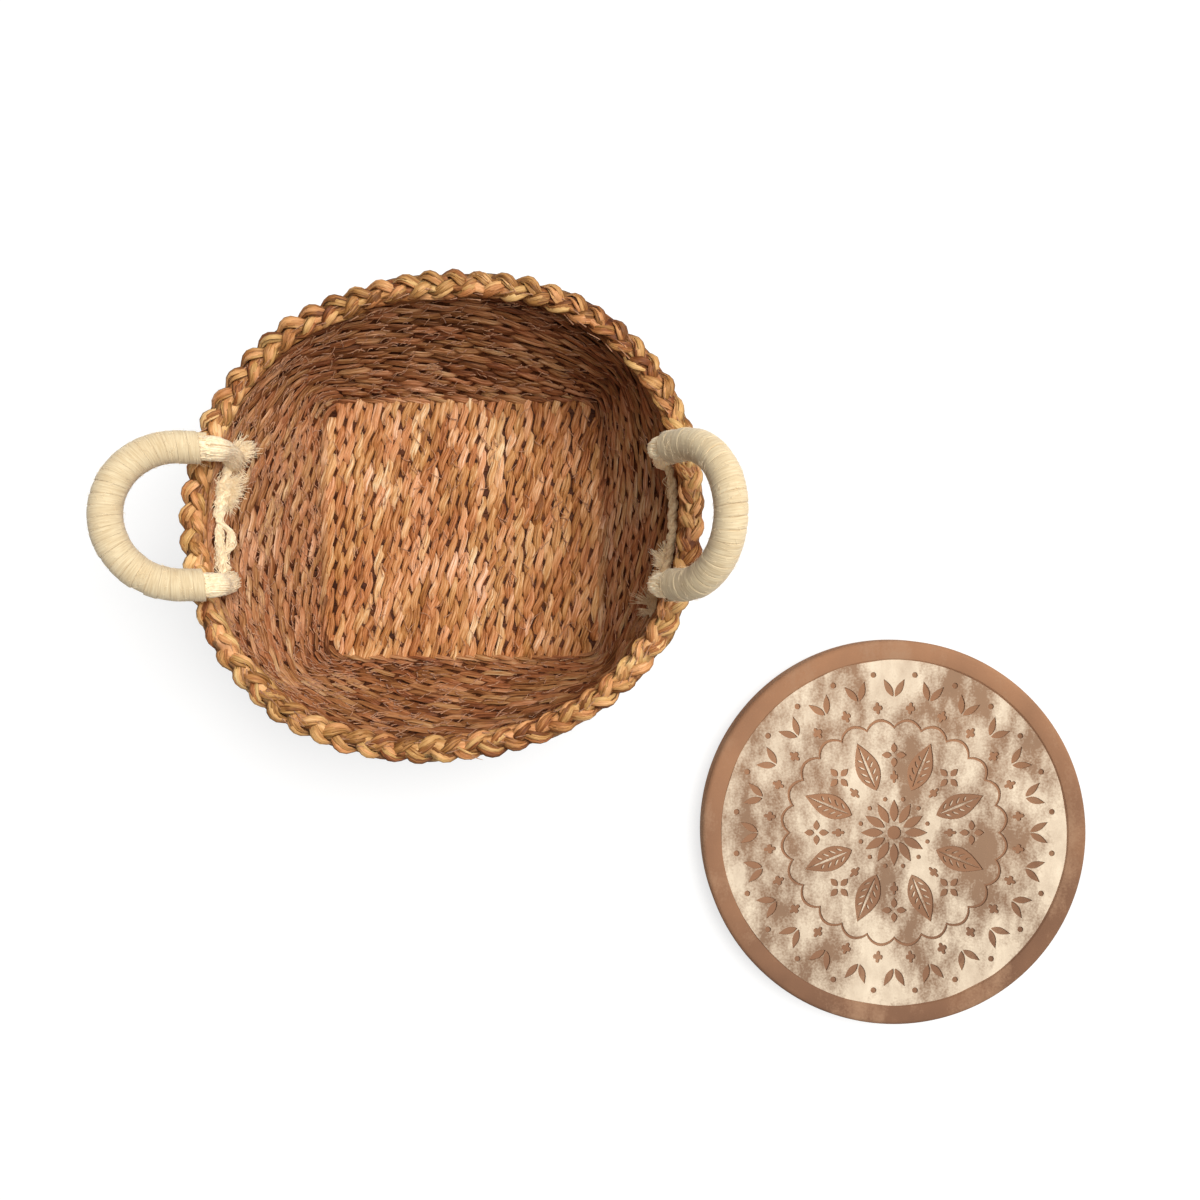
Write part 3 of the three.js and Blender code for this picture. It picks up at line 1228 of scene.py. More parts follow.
@dataclass(frozen=True)
class WickerWall:
    """Flaring wall of twined courses.

    Attributes:
        form: Shape of the wall.
        stitches: Number of stitches of a course, which is even so that its ends meet.
        offset: How much further round each course starts, as a share of a turn.
        lowest: Height below which no blade's middle line goes.
        twining: How the courses are twined.
    """

    form: BasketForm
    stitches: int = 48
    offset: float = 0.382
    lowest: float = 1.5 * MM
    twining: Twining = Twining(swing=1.5 * MM, lift=1.4 * MM, gap=1.15 * MM, steps=9)

    def ring(
        self, seed: int, number: int, share: float, inwards: float = 0.0, upwards: float = 0.0
    ) -> Shape:
        """Twines one closed ring.

        Args:
            seed: Seed of its unevenness.
            number: Number of the ring.
            share: How far up the wall it lies, from 0 to 1.
            inwards: Distance off the wall's middle surface.
            upwards: Distance along the slope.

        Returns:
            Its shape.
        """
        rng = seeded(seed)
        phase = rng.uniform(0, 2)
        places = self.twining.stitched(rng, self.stitches, True)
        angle = self.form.even_angles(share, places + self.offset * number)
        strands = []
        for ply in range(2):
            side, lift, width = self.twining.swings(rng, self.stitches, phase + ply, True)
            sway = wander(rng, len(places), 30, 0.25 * MM, True) + upwards
            lean = wander(rng, len(places), self.stitches, 0.3, True)
            bundle = self.twining.bundle(rng, width, self.stitches, True)
            for blade, (aside, raised, size) in enumerate(bundle):
                off = -lift - raised - inwards
                radius, height, slope = self.form.wall(angle, share, off, sway + aside - side)
                strand = Strand(
                    around(angle, radius, np.maximum(height, self.lowest)),
                    size,
                    lean - slope,
                    closed=True,
                    stitches=self.stitches / 2,
                    number=2 * number + ply,
                    first=(phase + ply) / 2 + 0.25,
                    part=(blade, self.twining.blades),
                )
                strands.append(strand)
        return swept(strands, blade_profiles(200 + number))

    def build(self, grass: Material) -> None:
        """Makes every course, and the edging where the wall meets the floor.

        Args:
            grass: Material of the blades.
        """
        for number in range(1, self.form.courses + 1):
            node = f"wall_course_{number:02d}"
            course = self.ring(300 + number, number, (number - 0.5) / self.form.courses)
            piece(course, f"twined_{node}", grass, Slot.GRASS, node)
        edging = self.ring(290, 0, 0.0, 2.4 * MM, 1.4 * MM)
        piece(edging, "twined_floor_edging", grass, Slot.GRASS)


@dataclass(frozen=True)
class Stakes:
    """Grass stakes inside the twining, across the floor and on up the wall.

    Attributes:
        form: Shape of the wall.
        spacing: Distance between the stakes of the floor.
        half_floor: Half width that they cover.
        reach: Half length of each.
        floor_height: Height of their middle lines.
        uprights: Number of stakes in the wall.
    """

    form: BasketForm
    spacing: float = 4.5 * MM
    half_floor: float = 66.0 * MM
    reach: float = 77.0 * MM
    floor_height: float = 3.5 * MM
    uprights: int = 168

    def strands(self) -> list[Strand]:
        """Lays each stake.

        Returns:
            The stakes.
        """
        found = []
        for y in np.arange(-self.half_floor, self.half_floor, self.spacing):
            line = columns(np.linspace(-self.reach, self.reach, 12), y, self.floor_height)
            found.append(Strand(line, stitches=20, number=len(found)))
        places = (np.arange(self.uprights) + 0.5) / self.uprights
        for angle in self.form.even_angles(0.6, places):
            radius, height, _ = self.form.wall(angle, np.linspace(0.0, 1.05, 10))
            radius = np.insert(radius, 0, radius[0] - 8 * MM)
            height = np.insert(height, 0, 1.4 * MM)
            line = around(angle, radius, height)
            widths = np.linspace(0.95, 1.35, len(line))
            found.append(Strand(line, widths, stitches=12, number=len(found)))
        return found

    def build(self, grass: Material) -> None:
        """Makes the stakes as one piece."""
        profiles = [BladeProfile(2.6 * MM, 0.5 * MM, 8, 0.1, 950)]
        piece(swept(self.strands(), profiles), "hidden_stakes", grass, Slot.GRASS)


@dataclass(frozen=True)
class Frizz:
    """Loose ends of grass that stand off the twining.

    Attributes:
        form: Shape of the wall.
        on_wall: Number of loose ends on the wall.
        on_floor: Number on the floor.
        on_rim: Number on the plait.
    """

    form: BasketForm
    on_wall: int = 1700
    on_floor: int = 240
    on_rim: int = 170

    def wall_line(self, rng: Random) -> Array:
        """One loose end on the wall, more of them high up and on the left.

        Args:
            rng: Seeded source of its unevenness.

        Returns:
            Its points.
        """
        on_left = rng.random() < 0.6
        angle = rng.normal(math.radians(185), 0.9) if on_left else rng.uniform(0, FULL_TURN)
        share = 1 - 0.95 * rng.random() ** 1.3
        length = rng.uniform(2.5, 7) * MM
        lean = rng.normal(0, 0.5)
        bend = rng.normal(0, 0.6)
        steps = np.linspace(-0.5, 0.5, 6)
        angles = angle + steps * length * math.cos(lean) / self.form.wall(angle, share)[0]
        slope_length = 83 * MM
        rise = (steps * math.sin(lean) + bend * steps**2) * length / slope_length
        off = self.form.half_wall - 0.3 * MM + rng.uniform(0.3, 1.4) * MM * (0.5 + steps) ** 2
        reach, height, _ = self.form.wall(angles, np.clip(share + rise, 0.02, 0.98), -off)
        return around(angles, reach, height)

    def floor_line(self, rng: Random) -> Array:
        """One loose end on the floor.

        Args:
            rng: Seeded source of its unevenness.

        Returns:
            Its points.
        """
        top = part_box("floor_row_15")[1].z - 0.3 * MM
        middle = np.array([rng.uniform(-68, 68) * MM, rng.uniform(-63, 63) * MM, top])
        turn = math.pi / 2 + rng.normal(0, 0.5)
        steps = np.linspace(-0.5, 0.5, 6)[:, None] * rng.uniform(3, 8) * MM
        aim = np.array([math.cos(turn), math.sin(turn), 0])
        bend = np.array([-math.sin(turn), math.cos(turn), 0]) * rng.normal(0, 60)
        bend = bend + np.array([0, 0, rng.uniform(0, 40)])
        return middle + steps * aim + steps**2 * bend

    def rim_line(self, rng: Random) -> Array:
        """One loose end along the plait.

        Args:
            rng: Seeded source of its unevenness.

        Returns:
            Its points.
        """
        angle = rng.uniform(0, FULL_TURN)
        across = rng.uniform(-5.4, 5.0) * MM
        steps = np.linspace(0, 1, 5)
        angles = angle + steps * rng.uniform(3, 8) * MM / self.form.rim_radius
        out = across + steps * rng.normal(0, 1.6 * MM)
        up = 2.6 * MM - abs(across) * 0.4 + steps * rng.uniform(0, 1.6) * MM
        return around(angles, self.form.braid_radius(angles) + out, self.form.braid_height + up)

    def build(self, stray: Material) -> None:
        """Scatters the loose ends.

        Args:
            stray: Material of the loose ends.
        """
        rng = seeded(970)
        lines = [self.wall_line(rng) for _ in range(self.on_wall)]
        lines += [self.floor_line(rng) for _ in range(self.on_floor)]
        lines += [self.rim_line(rng) for _ in range(self.on_rim)]
        piece(fibres(lines, 0.3 * MM), "loose_grass_ends", stray, Slot.GRASS)


@dataclass(frozen=True)
class PlaitedRim:
    """Plait of three strands of grass blades over the last course.

    Attributes:
        form: Shape of the wall.
        outwards: How far the plait lies past its middle line.
        askew: How far it is shifted on the wall, along X and Y.
        periods: How often a strand comes back to its place.
        strands: Number of strands.
        swing: How far a strand swings across the plait.
        lift: How far it rises and dips.
        steps: Points for each period.
        sharpest: Turn of a fold at its end, in radians, which brings it to 1.
        blades: Each blade's place across and up in its strand, and its width, in millimetres.
        edges: Each blade under the folds: place across and up, width, and turn in radians.
    """

    form: BasketForm
    outwards: float = 1.6 * MM
    askew: tuple[float, float] = (-0.4 * MM, 1.1 * MM)
    periods: int = 21
    strands: int = 3
    swing: float = 4.6 * MM
    lift: float = 2.3 * MM
    steps: int = 14
    sharpest: float = 1.287
    blades: tuple[Triple, ...] = (
        (-1.6, 0.1, 1.6),
        (-0.1, 0.5, 1.4),
        (1.5, 0.2, 1.7),
        (-0.9, -0.6, 1.6),
        (0.8, -0.8, 1.7),
    )
    edges: tuple[tuple[float, float, float, float], ...] = (
        (-3.3, -2.4, 1.3, -0.5),
        (0.0, -2.2, 1.6, 0.0),
        (3.3, -2.4, 1.3, 0.5),
        (-0.4, -0.2, 1.7, 0.1),
        (-2.6, -4.6, 1.5, 1.35),
        (1.2, -4.6, 1.5, 1.35),
    )

    @property
    def places(self) -> Array:
        """Places of a blade's points round the rim, from 0 to 1."""
        return np.linspace(0, 1, self.periods * self.steps, endpoint=False)

    def sway(self, rng: Random, knots: int, strength: float) -> Array:
        """A smooth random line round the rim, with so many knots for each period."""
        return wander(rng, self.periods * self.steps, knots * self.periods, strength, True)

    def placed(self, across: Array, up: Array) -> Array:
        """Points off the plait's middle line, which lies a little askew on the wall.

        Args:
            across: Distances outwards.
            up: Distances upwards.

        Returns:
            The points.
        """
        angle = self.form.even_angles(None, self.places)
        radius = self.form.braid_radius(angle) + self.outwards + across
        return around(angle, radius, self.form.braid_height + up) + np.array([*self.askew, 0.0])

    def blade(self, strand: int, blade: int, rng: Random) -> Strand:
        """Lays one blade of one strand round the rim.

        Args:
            strand: Number of the strand.
            blade: Number of the blade in it.
            rng: Seeded source of its unevenness.

        Returns:
            The blade.
        """
        turn = FULL_TURN * (self.periods * self.places + strand / self.strands)
        aside, above, width = self.blades[blade]
        sideways = aside * MM * (0.7 + 0.3 * np.cos(2 * turn - 1.2))
        sideways = sideways + self.sway(rng, 4, 0.35 * MM)
        above = above * MM + self.sway(rng, 4, 0.3 * MM)
        leaf = (0.70 + 0.30 * np.cos(2 * turn - 1.35)) * (1 + self.sway(rng, 4, 0.2))
        # The blade crosses in a nearly straight run and turns back in a tight fold
        fold = 0.6 * np.arcsin(0.96 * np.sin(turn)) / self.sharpest
        wave = 0.4 * np.sin(turn) + fold
        across = self.swing * wave + sideways
        drop_off = 0.96 * MM * (across / (self.swing + 2 * MM)) ** 2
        up = self.lift * np.sin(2 * turn) + above - drop_off
        return Strand(
            self.placed(across, up),
            width / 2 * np.clip(leaf, 0.35, 1.35),
            0.4 * across / self.swing + self.sway(rng, 4, 0.3),
            closed=True,
            stitches=2 * self.periods,
            number=strand * len(self.blades) + blade,
            first=2 * strand / self.strands + 0.25,
        )

    def edge_blade(self, number: int, rng: Random) -> Strand:
        """Lays one blade along the plait, under the ones that fold over it.

        Args:
            number: Its number.
            rng: Seeded source of its unevenness.

        Returns:
            The blade.
        """
        across, rise, width, turn = self.edges[number]
        aside = across * MM + self.sway(rng, 3, 0.35 * MM)
        up = rise * MM + self.sway(rng, 3, 0.4 * MM)
        size = width * np.clip(1 + self.sway(rng, 3, 0.2), 0.5, 1.4)
        lean = turn + self.sway(rng, 3, 0.2)
        points = self.placed(aside, up)
        return Strand(points, size, lean, closed=True, stitches=3 * self.periods, number=40 + number)

    def build(self, grass: Material) -> None:
        """Plaits the rim.

        Args:
            grass: Material of the blades.
        """
        rng = seeded(500)
        laid = []
        for strand in range(self.strands):
            laid += [self.blade(strand, blade, rng) for blade in range(len(self.blades))]
        laid += [self.edge_blade(number, rng) for number in range(len(self.edges))]
        profiles = [BladeProfile(2.0 * MM, 0.62 * MM, 14, 0.28, 520 + seed) for seed in range(5)]
        piece(swept(laid, profiles), "plaited_rim", grass, Slot.PLAIT, "rim_braid")


@dataclass(frozen=True)
class Handle:
    """One rope handle: core, wound yarn, combed rope ends and tie strand.

    Attributes:
        form: Shape of the wall.
        side: Side of the basket.
        tilt: Angle of the grip above level.
        hinge_x: Distance of the hinge from the middle.
        hinge_z: Height of the hinge.
        leg: Distance of each leg from the handle's middle.
        start: Where the yarn starts, from the hinge.
        straight: Length of each straight leg.
        radius: Outer radius of the yarn.
        yarn_depth: Thickness of the yarn.
        end_gap: How far short of the core's ends the yarn stops.
        turns: Number of turns of the yarn.
        threads: Number of threads side by side in the yarn.
        woolly: How fuzzy the tie strand is.
        eye: Middle, half length and opening of the gap between the tie strand's plies.
        end_radius: Radius of a rope end.
        end_inset: How far outwards a rope end bends down, from its usual place.
        end_reach: Where it passes over the hinge, outwards.
        end_depths: Distances of its last points off the wall, in millimetres.
        end_swell: Its thickness at five places, as a share of the radius.
    """

    form: BasketForm
    side: Side
    tilt: float
    hinge_x: float = 100.394 * MM
    hinge_z: float = 90.0 * MM
    leg: float = 31.25 * MM
    start: float = 6.3 * MM
    straight: float = 11.45 * MM
    radius: float = 7.5 * MM
    yarn_depth: float = 2.2 * MM
    end_gap: float = 0.3 * MM
    turns: int = 24
    threads: int = 8
    woolly: float = 1.0
    eye: Triple = (0.0, 6.5 * MM, 0.0)
    end_radius: float = 5.0 * MM
    end_inset: float = 0.0
    end_reach: float = 0.0
    end_depths: Triple = (4.0, 1.8, -1.5)
    end_swell: tuple[float, ...] = (1.0, 1.0, 1.0, 1.0, 1.0)

    @property
    def total(self) -> float:
        """Length of the bow's middle line."""
        return 2 * self.straight + math.pi * self.leg

    @property
    def outward(self) -> Array:
        """Direction from the hinge along the grip."""
        return np.array([self.side.value * math.cos(self.tilt), 0, math.sin(self.tilt)])

    def in_place(self, points: Array) -> Array:
        """Takes points of the handle's own frame to the basket's.

        Args:
            points: The points, with X along the grip and Z square to its plane.

        Returns:
            The same points in the basket's frame.
        """
        side = self.side.value
        across = np.array([0, side, 0])
        normal = np.array([-side * math.sin(self.tilt), 0, math.cos(self.tilt)])
        hinge = np.array([side * self.hinge_x, 0, self.hinge_z])
        return hinge + points[:, :1] * self.outward + points[:, 1:2] * across + points[:, 2:3] * normal

    def bowed(self, straight: Array) -> Array:
        """Bends points of a straight grip, which lies along X, into the bow at its tilt.

        Args:
            straight: The points.

        Returns:
            The bent points in the basket's frame.
        """
        along, outer, normal = straight.T
        turn = np.clip((along - self.straight) / self.leg, 0, math.pi)
        before = np.minimum(along - self.straight, 0)
        after = np.maximum(along - self.straight - math.pi * self.leg, 0)
        reach = self.leg + outer
        x = self.start + self.straight + reach * np.sin(turn) + before - after
        return self.in_place(columns(x, reach * np.cos(turn), normal))

    def section(self, pitch: float) -> list[tuple[float, float]]:
        """Section of the wound yarn: a row of threads, domed, as places along and off the core.

        Args:
            pitch: Distance from one turn to the next.

        Returns:
            The section's corners.
        """
        half = pitch / 2 - 0.02 * MM
        points = []
        for step in range(2 * self.threads + 1):
            place = -half + half * step / self.threads
            dome = 0.04 * MM * abs(place / half) ** 6
            groove = 0.1 * MM * (1 - step % 2)
            points.append((place, self.radius - dome - groove))
        inner = self.radius - self.yarn_depth
        return [*points, (half, inner), (-half, inner)]

    def winding(self, yarn: Material) -> None:
        """Winds the yarn round the core from leg to leg.

        Args:
            yarn: Its material.
        """
        steps_per_turn = 32
        pitch = (self.total - 2 * self.end_gap) / (self.turns + 1)
        first = pitch / 2 + self.end_gap
        shape = bmesh.new()
        loop = [shape.verts.new((first + place, off, 0)) for place, off in self.section(pitch)]
        edges = [shape.edges.new((loop[step - 1], loop[step])) for step in range(len(loop))]
        bmesh.ops.spin(
            shape,
            geom=loop + edges,
            cent=(0, 0, 0),
            axis=(1, 0, 0),
            dvec=(pitch / steps_per_turn, 0, 0),
            angle=FULL_TURN * self.turns,
            steps=self.turns * steps_per_turn,
            use_merge=False,
        )
        rims = [edge for edge in shape.edges if edge.is_boundary]
        bmesh.ops.holes_fill(shape, edges=rims, sides=0)
        points = np.array([vertex.co for vertex in shape.verts])
        angle = np.arctan2(points[:, 2], points[:, 1]) / FULL_TURN
        turn = np.round((points[:, 0] - first) / pitch - angle) + angle
        across = np.clip(points[:, 0] - first - pitch * turn, -pitch / 2, pitch / 2)
        rng = seeded(700 + self.side.value)
        marks = np.arange(self.turns + 2)
        uneven = 1 + 0.012 * np.interp(turn, marks, rng.normal(0, 1, len(marks)))
        depth = np.interp(turn, marks, rng.uniform(0, 1, len(marks))) ** 4
        # The seams between turns open on the outer side of the bow only
        way = points[:, 0] / self.total
        crown = np.clip(points[:, 1] / self.radius, 0, 1) * np.clip(8 * way * (1 - way) - 0.7, 0, 1)
        seam = np.abs(across / (pitch / 2)) ** 8
        raised = np.hypot(points[:, 1], points[:, 2]) > self.radius - 2 * MM
        factor = np.where(raised, uneven - 0.13 * seam * crown * (0.02 + depth), 1.0)
        points[:, 1:] *= factor[:, None]
        lay = shape.verts.layers.float_vector.new("lay")
        for vertex, place, about, over in zip(shape.verts, self.bowed(points), turn, across):
            vertex.co = place
            vertex[lay] = (about * 6.0, over / MM * 1.7, round(about) * 0.37)
        bmesh.ops.recalc_face_normals(shape, faces=shape.faces)
        self.grip_piece(shape, "wound_yarn", yarn, Slot.YARN, "grip_winding")

    def grip_piece(self, shape: Shape, name: str, material: Material, slot: Slot, *nodes: str) -> None:
        """Makes a piece that rides on the handle, with the side's word before its names.

        Args:
            shape: The shape, which is changed.
            name: The rest of its name.
            material: Its material.
            slot: Material slot of the record.
            nodes: The rest of the names of the CAD nodes that it stands for.
        """
        word = self.side.word
        named = [f"{word}_{node}" for node in nodes]
        piece(shape, f"{word}_{name}", material, slot, *named, body=f"{word}_handle")

    def fuzz(self, rope: Material) -> None:
        """Scatters short loose hairs over the wound yarn.

        Args:
            rope: Their material.
        """
        rng = seeded(760 + self.side.value)
        lines = []
        steps = np.linspace(0, 1, 5)
        for _ in range(420):
            along = rng.uniform(2 * MM, self.total - 2 * MM) + steps * rng.normal(0, 1.6 * MM)
            about = rng.uniform(0, FULL_TURN) + steps * rng.normal(0, 0.35)
            off = self.radius - 0.1 * MM + rng.uniform(0.3, 1.1) * MM * steps**0.7
            lines.append(self.bowed(columns(along, off * np.cos(about), off * np.sin(about))))
        self.grip_piece(fibres(lines, 0.07 * MM), "yarn_fuzz", rope, Slot.YARN)

    def core(self, rope: Material) -> None:
        """Makes the rope core that the yarn covers.

        Args:
            rope: Its material.
        """
        along = np.linspace(-3 * MM, self.total + 3 * MM, 60)
        strands = []
        for ply in range(3):
            turn = FULL_TURN * (along / (26 * MM) + ply / 3)
            line = self.bowed(columns(along, 2.3 * MM * np.cos(turn), 2.3 * MM * np.sin(turn)))
            strands.append(Strand(line, stitches=12, number=ply))
        shape = swept(strands, [BladeProfile(2.6 * MM, 2.6 * MM, 10, 0.08, 710)])
        self.grip_piece(shape, "rope_core", rope, Slot.ROPE, "grip_core")

    def leg_angle(self, y: float) -> float:
        """Angle of the rim where a leg passes over it.

        Args:
            y: Place of the leg along Y.

        Returns:
            The angle.
        """
        facing = 0.0 if self.side is Side.RIGHT else math.pi
        lean = math.asin(y / float(self.form.braid_radius(facing)))
        return lean if self.side is Side.RIGHT else math.pi - lean

    def rope_end_line(self, y: float) -> Array:
        """Middle line of a combed rope end, from under the yarn over the hinge into the wall.

        Args:
            y: Place of the leg along Y.

        Returns:
            The line's points.
        """
        side = self.side.value
        reach = (self.start + 4 * MM, self.start - 1 * MM, self.end_reach)
        grip = self.in_place(np.array([(out, side * y, 0.0) for out in reach]))
        angle = self.leg_angle(y)
        braid = float(self.form.braid_radius(angle)) * abs(math.cos(angle))
        inner = min(braid - self.form.braid_width / 2 - 5.5 * MM, self.hinge_x) + self.end_inset
        bend = np.array([side * inner, y, self.form.braid_height])
        entry = [self.form.inner_point(angle, 0.9, distance * MM) for distance in self.end_depths]
        return smooth_line([*grip, bend, *entry], 26)

    def rope_end(self, word: str, y: float, rope: Material) -> None:
        """Makes one combed rope end of many fibres round a soft core.

        Args:
            word: Its word in the names, back or front.
            y: Place of its leg along Y.
            rope: Its material.
        """
        side = self.side.value
        rng = seeded(720 + side + int(y > 0) * 10)
        tube = Tube.along(self.rope_end_line(y), (0.0, 1.0, 0.0))
        count = len(tube.line)
        place = np.arange(count)
        swell = np.interp(place, [0, 4, 9, 18, count - 1], self.end_swell)
        profile = BladeProfile(self.end_radius, self.end_radius, 24, 0.2, 730)
        body = swept([Strand(tube.line, swell, stitches=6)], [profile])
        loose = np.clip((place - 12) / 14, 0, 1)
        lines = []
        for _ in range(230):
            about = rng.uniform(0, FULL_TURN) + wander(rng, count, 4, 0.22)
            stray = rng.uniform(0, 1.9) * MM * loose
            off = (self.end_radius + rng.uniform(-0.3, 0.3) * MM) * swell
            off = off + wander(rng, count, 8, 0.16 * MM) + stray
            first = rng.integers(0, 6)
            last = rng.integers(count - 8, count)
            lines.append(tube.beside(off, about)[first:last])
        name = f"{self.side.word}_{word}"
        shape = merged(body, fibres(lines, 0.4 * MM))
        made = piece(shape, f"{name}_rope_end", rope, Slot.ROPE, f"{name}_lashing", body=None)
        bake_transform(made)

    def tie(self, rope: Material) -> None:
        """Makes the tie strand along the inner wall between the two rope ends.

        Args:
            rope: Its material.
        """
        rng = seeded(740 + self.side.value)
        reach = self.leg - 3 * MM
        count = 90
        across = np.linspace(-reach, reach, count)
        line = np.array([self.form.inner_point(self.leg_angle(y), 0.93, 2.6 * MM) for y in across])
        line[:, 2] += wander(rng, count, 7, 0.9 * MM)
        tube = Tube.along(line, (0.0, 0.0, 1.0))
        middle, half, opening = self.eye
        apart = np.exp(-(((across - middle) / half) ** 4)) * opening
        twisted = np.exp(-(((across - middle) / (1.3 * half)) ** 4)) if opening else np.zeros(count)
        size = 0.75 + 0.25 * across / reach if opening else np.ones(count)
        strands = []
        for ply in range(2):
            turn = FULL_TURN * (across / (11 * MM)) + math.pi * ply
            points = tube.beside(1.0 * MM * (1 - twisted), turn)
            points[:, 0] -= self.side.value * apart * (1 - ply)
            points[:, 2] -= 0.3 * apart * (1 - ply)
            width = size + wander(rng, count, 12, 0.12)
            strands.append(Strand(points, width, stitches=10, number=ply))
        body = swept(strands, [BladeProfile(1.35 * MM, 1.35 * MM, 10, 0.1, 745)])
        length = 20
        lines = []
        for _ in range(round(240 * self.woolly)):
            first = rng.integers(0, count - length - 2)
            part = slice(first, first + length)
            about = rng.uniform(0, FULL_TURN) + wander(rng, length, 3, 0.9)
            ends = np.clip(across[part] / reach, -0.5, 1)
            off = rng.uniform(0.9, 1.9) * MM + wander(rng, length, 5, 0.5 * MM)
            off = off * (0.75 + self.woolly * np.abs(ends) ** 1.5)
            lines.append(tube.part(part, strands[rng.integers(0, 2)].points).beside(off, about))
        shape = merged(body, fibres(lines, 0.22 * MM))
        word = self.side.word
        piece(shape, f"{word}_tie_twist", rope, Slot.ROPE, f"{word}_tie_strand")

    def build(self, yarn: Material, rope: Material, tie: Material) -> None:
        """Makes every piece of the handle.

        Args:
            yarn: Material of the wound yarn.
            rope: Material of the rope.
            tie: Material of the tie strand.
        """
        self.core(rope)
        self.winding(yarn)
        self.fuzz(rope)
        self.rope_end("back", self.leg, rope)
        self.rope_end("front", -self.leg, rope)
        self.tie(tie)


@dataclass(frozen=True)
class Tuft:
    """One frayed tuft of rope fibre on the inner wall.

    Attributes:
        name: CAD node that it stands for.
        angle: Place round the basket.
        share: Place up the wall, from 0 to 1.
        bulk: How large it is.
        aimed: How far its fibres lean round the basket and up the slope.
        stray: How much they differ in that.
    """

    name: str
    angle: float
    share: float
    bulk: float
    aimed: tuple[float, float]
    stray: float

    def build(self, form: BasketForm, rope: Material) -> None:
        """Makes the tuft, with fibres that would go into the wall folded back off it.

        Args:
            form: Shape of the wall.
            rope: Material of the rope.
        """
        rng = seeded(sum(map(ord, self.name)))
        base = form.inner_point(self.angle, self.share, -0.5 * MM)
        tip = form.inner_point(self.angle, self.share, 6.0 * MM)
        away = (tip - base) / np.linalg.norm(tip - base)
        sideways = np.array([-math.sin(self.angle), math.cos(self.angle), 0.0])
        upward = np.cross(away, sideways)
        upward = upward * math.copysign(1, upward[2])
        bulk, stray = self.bulk, self.stray
        along = np.linspace(0, 1, 6)[:, None]
        lines = []
        for _ in range(round(20 * bulk)):
            root = base + sideways * rng.normal(0, 2.2 * MM * bulk)
            root = root + upward * rng.normal(0, 1.8 * MM * bulk)
            aim = away * rng.uniform(0.15, 0.45) + sideways * rng.normal(self.aimed[0], stray)
            aim = aim + upward * rng.normal(self.aimed[1], stray)
            length = rng.uniform(3.5, 6.5) * MM * bulk**0.5
            curl = rng.normal(0, stray, 3)
            for _ in range(26):
                start = root + rng.normal(0, 0.45 * MM, 3)
                lean = aim + rng.normal(0, 0.16, 3)
                bend = curl + rng.normal(0, 0.2, 3)
                reach = length * rng.uniform(0.7, 1.1)
                fibre = start + reach * (along * lean + along**2 * bend)
                sunk = np.maximum(0, (base - fibre) @ away)
                lines.append(fibre + 2 * sunk[:, None] * away)
        piece(fibres(lines, 0.24 * MM), f"{self.name}_fibres", rope, Slot.ROPE, self.name)


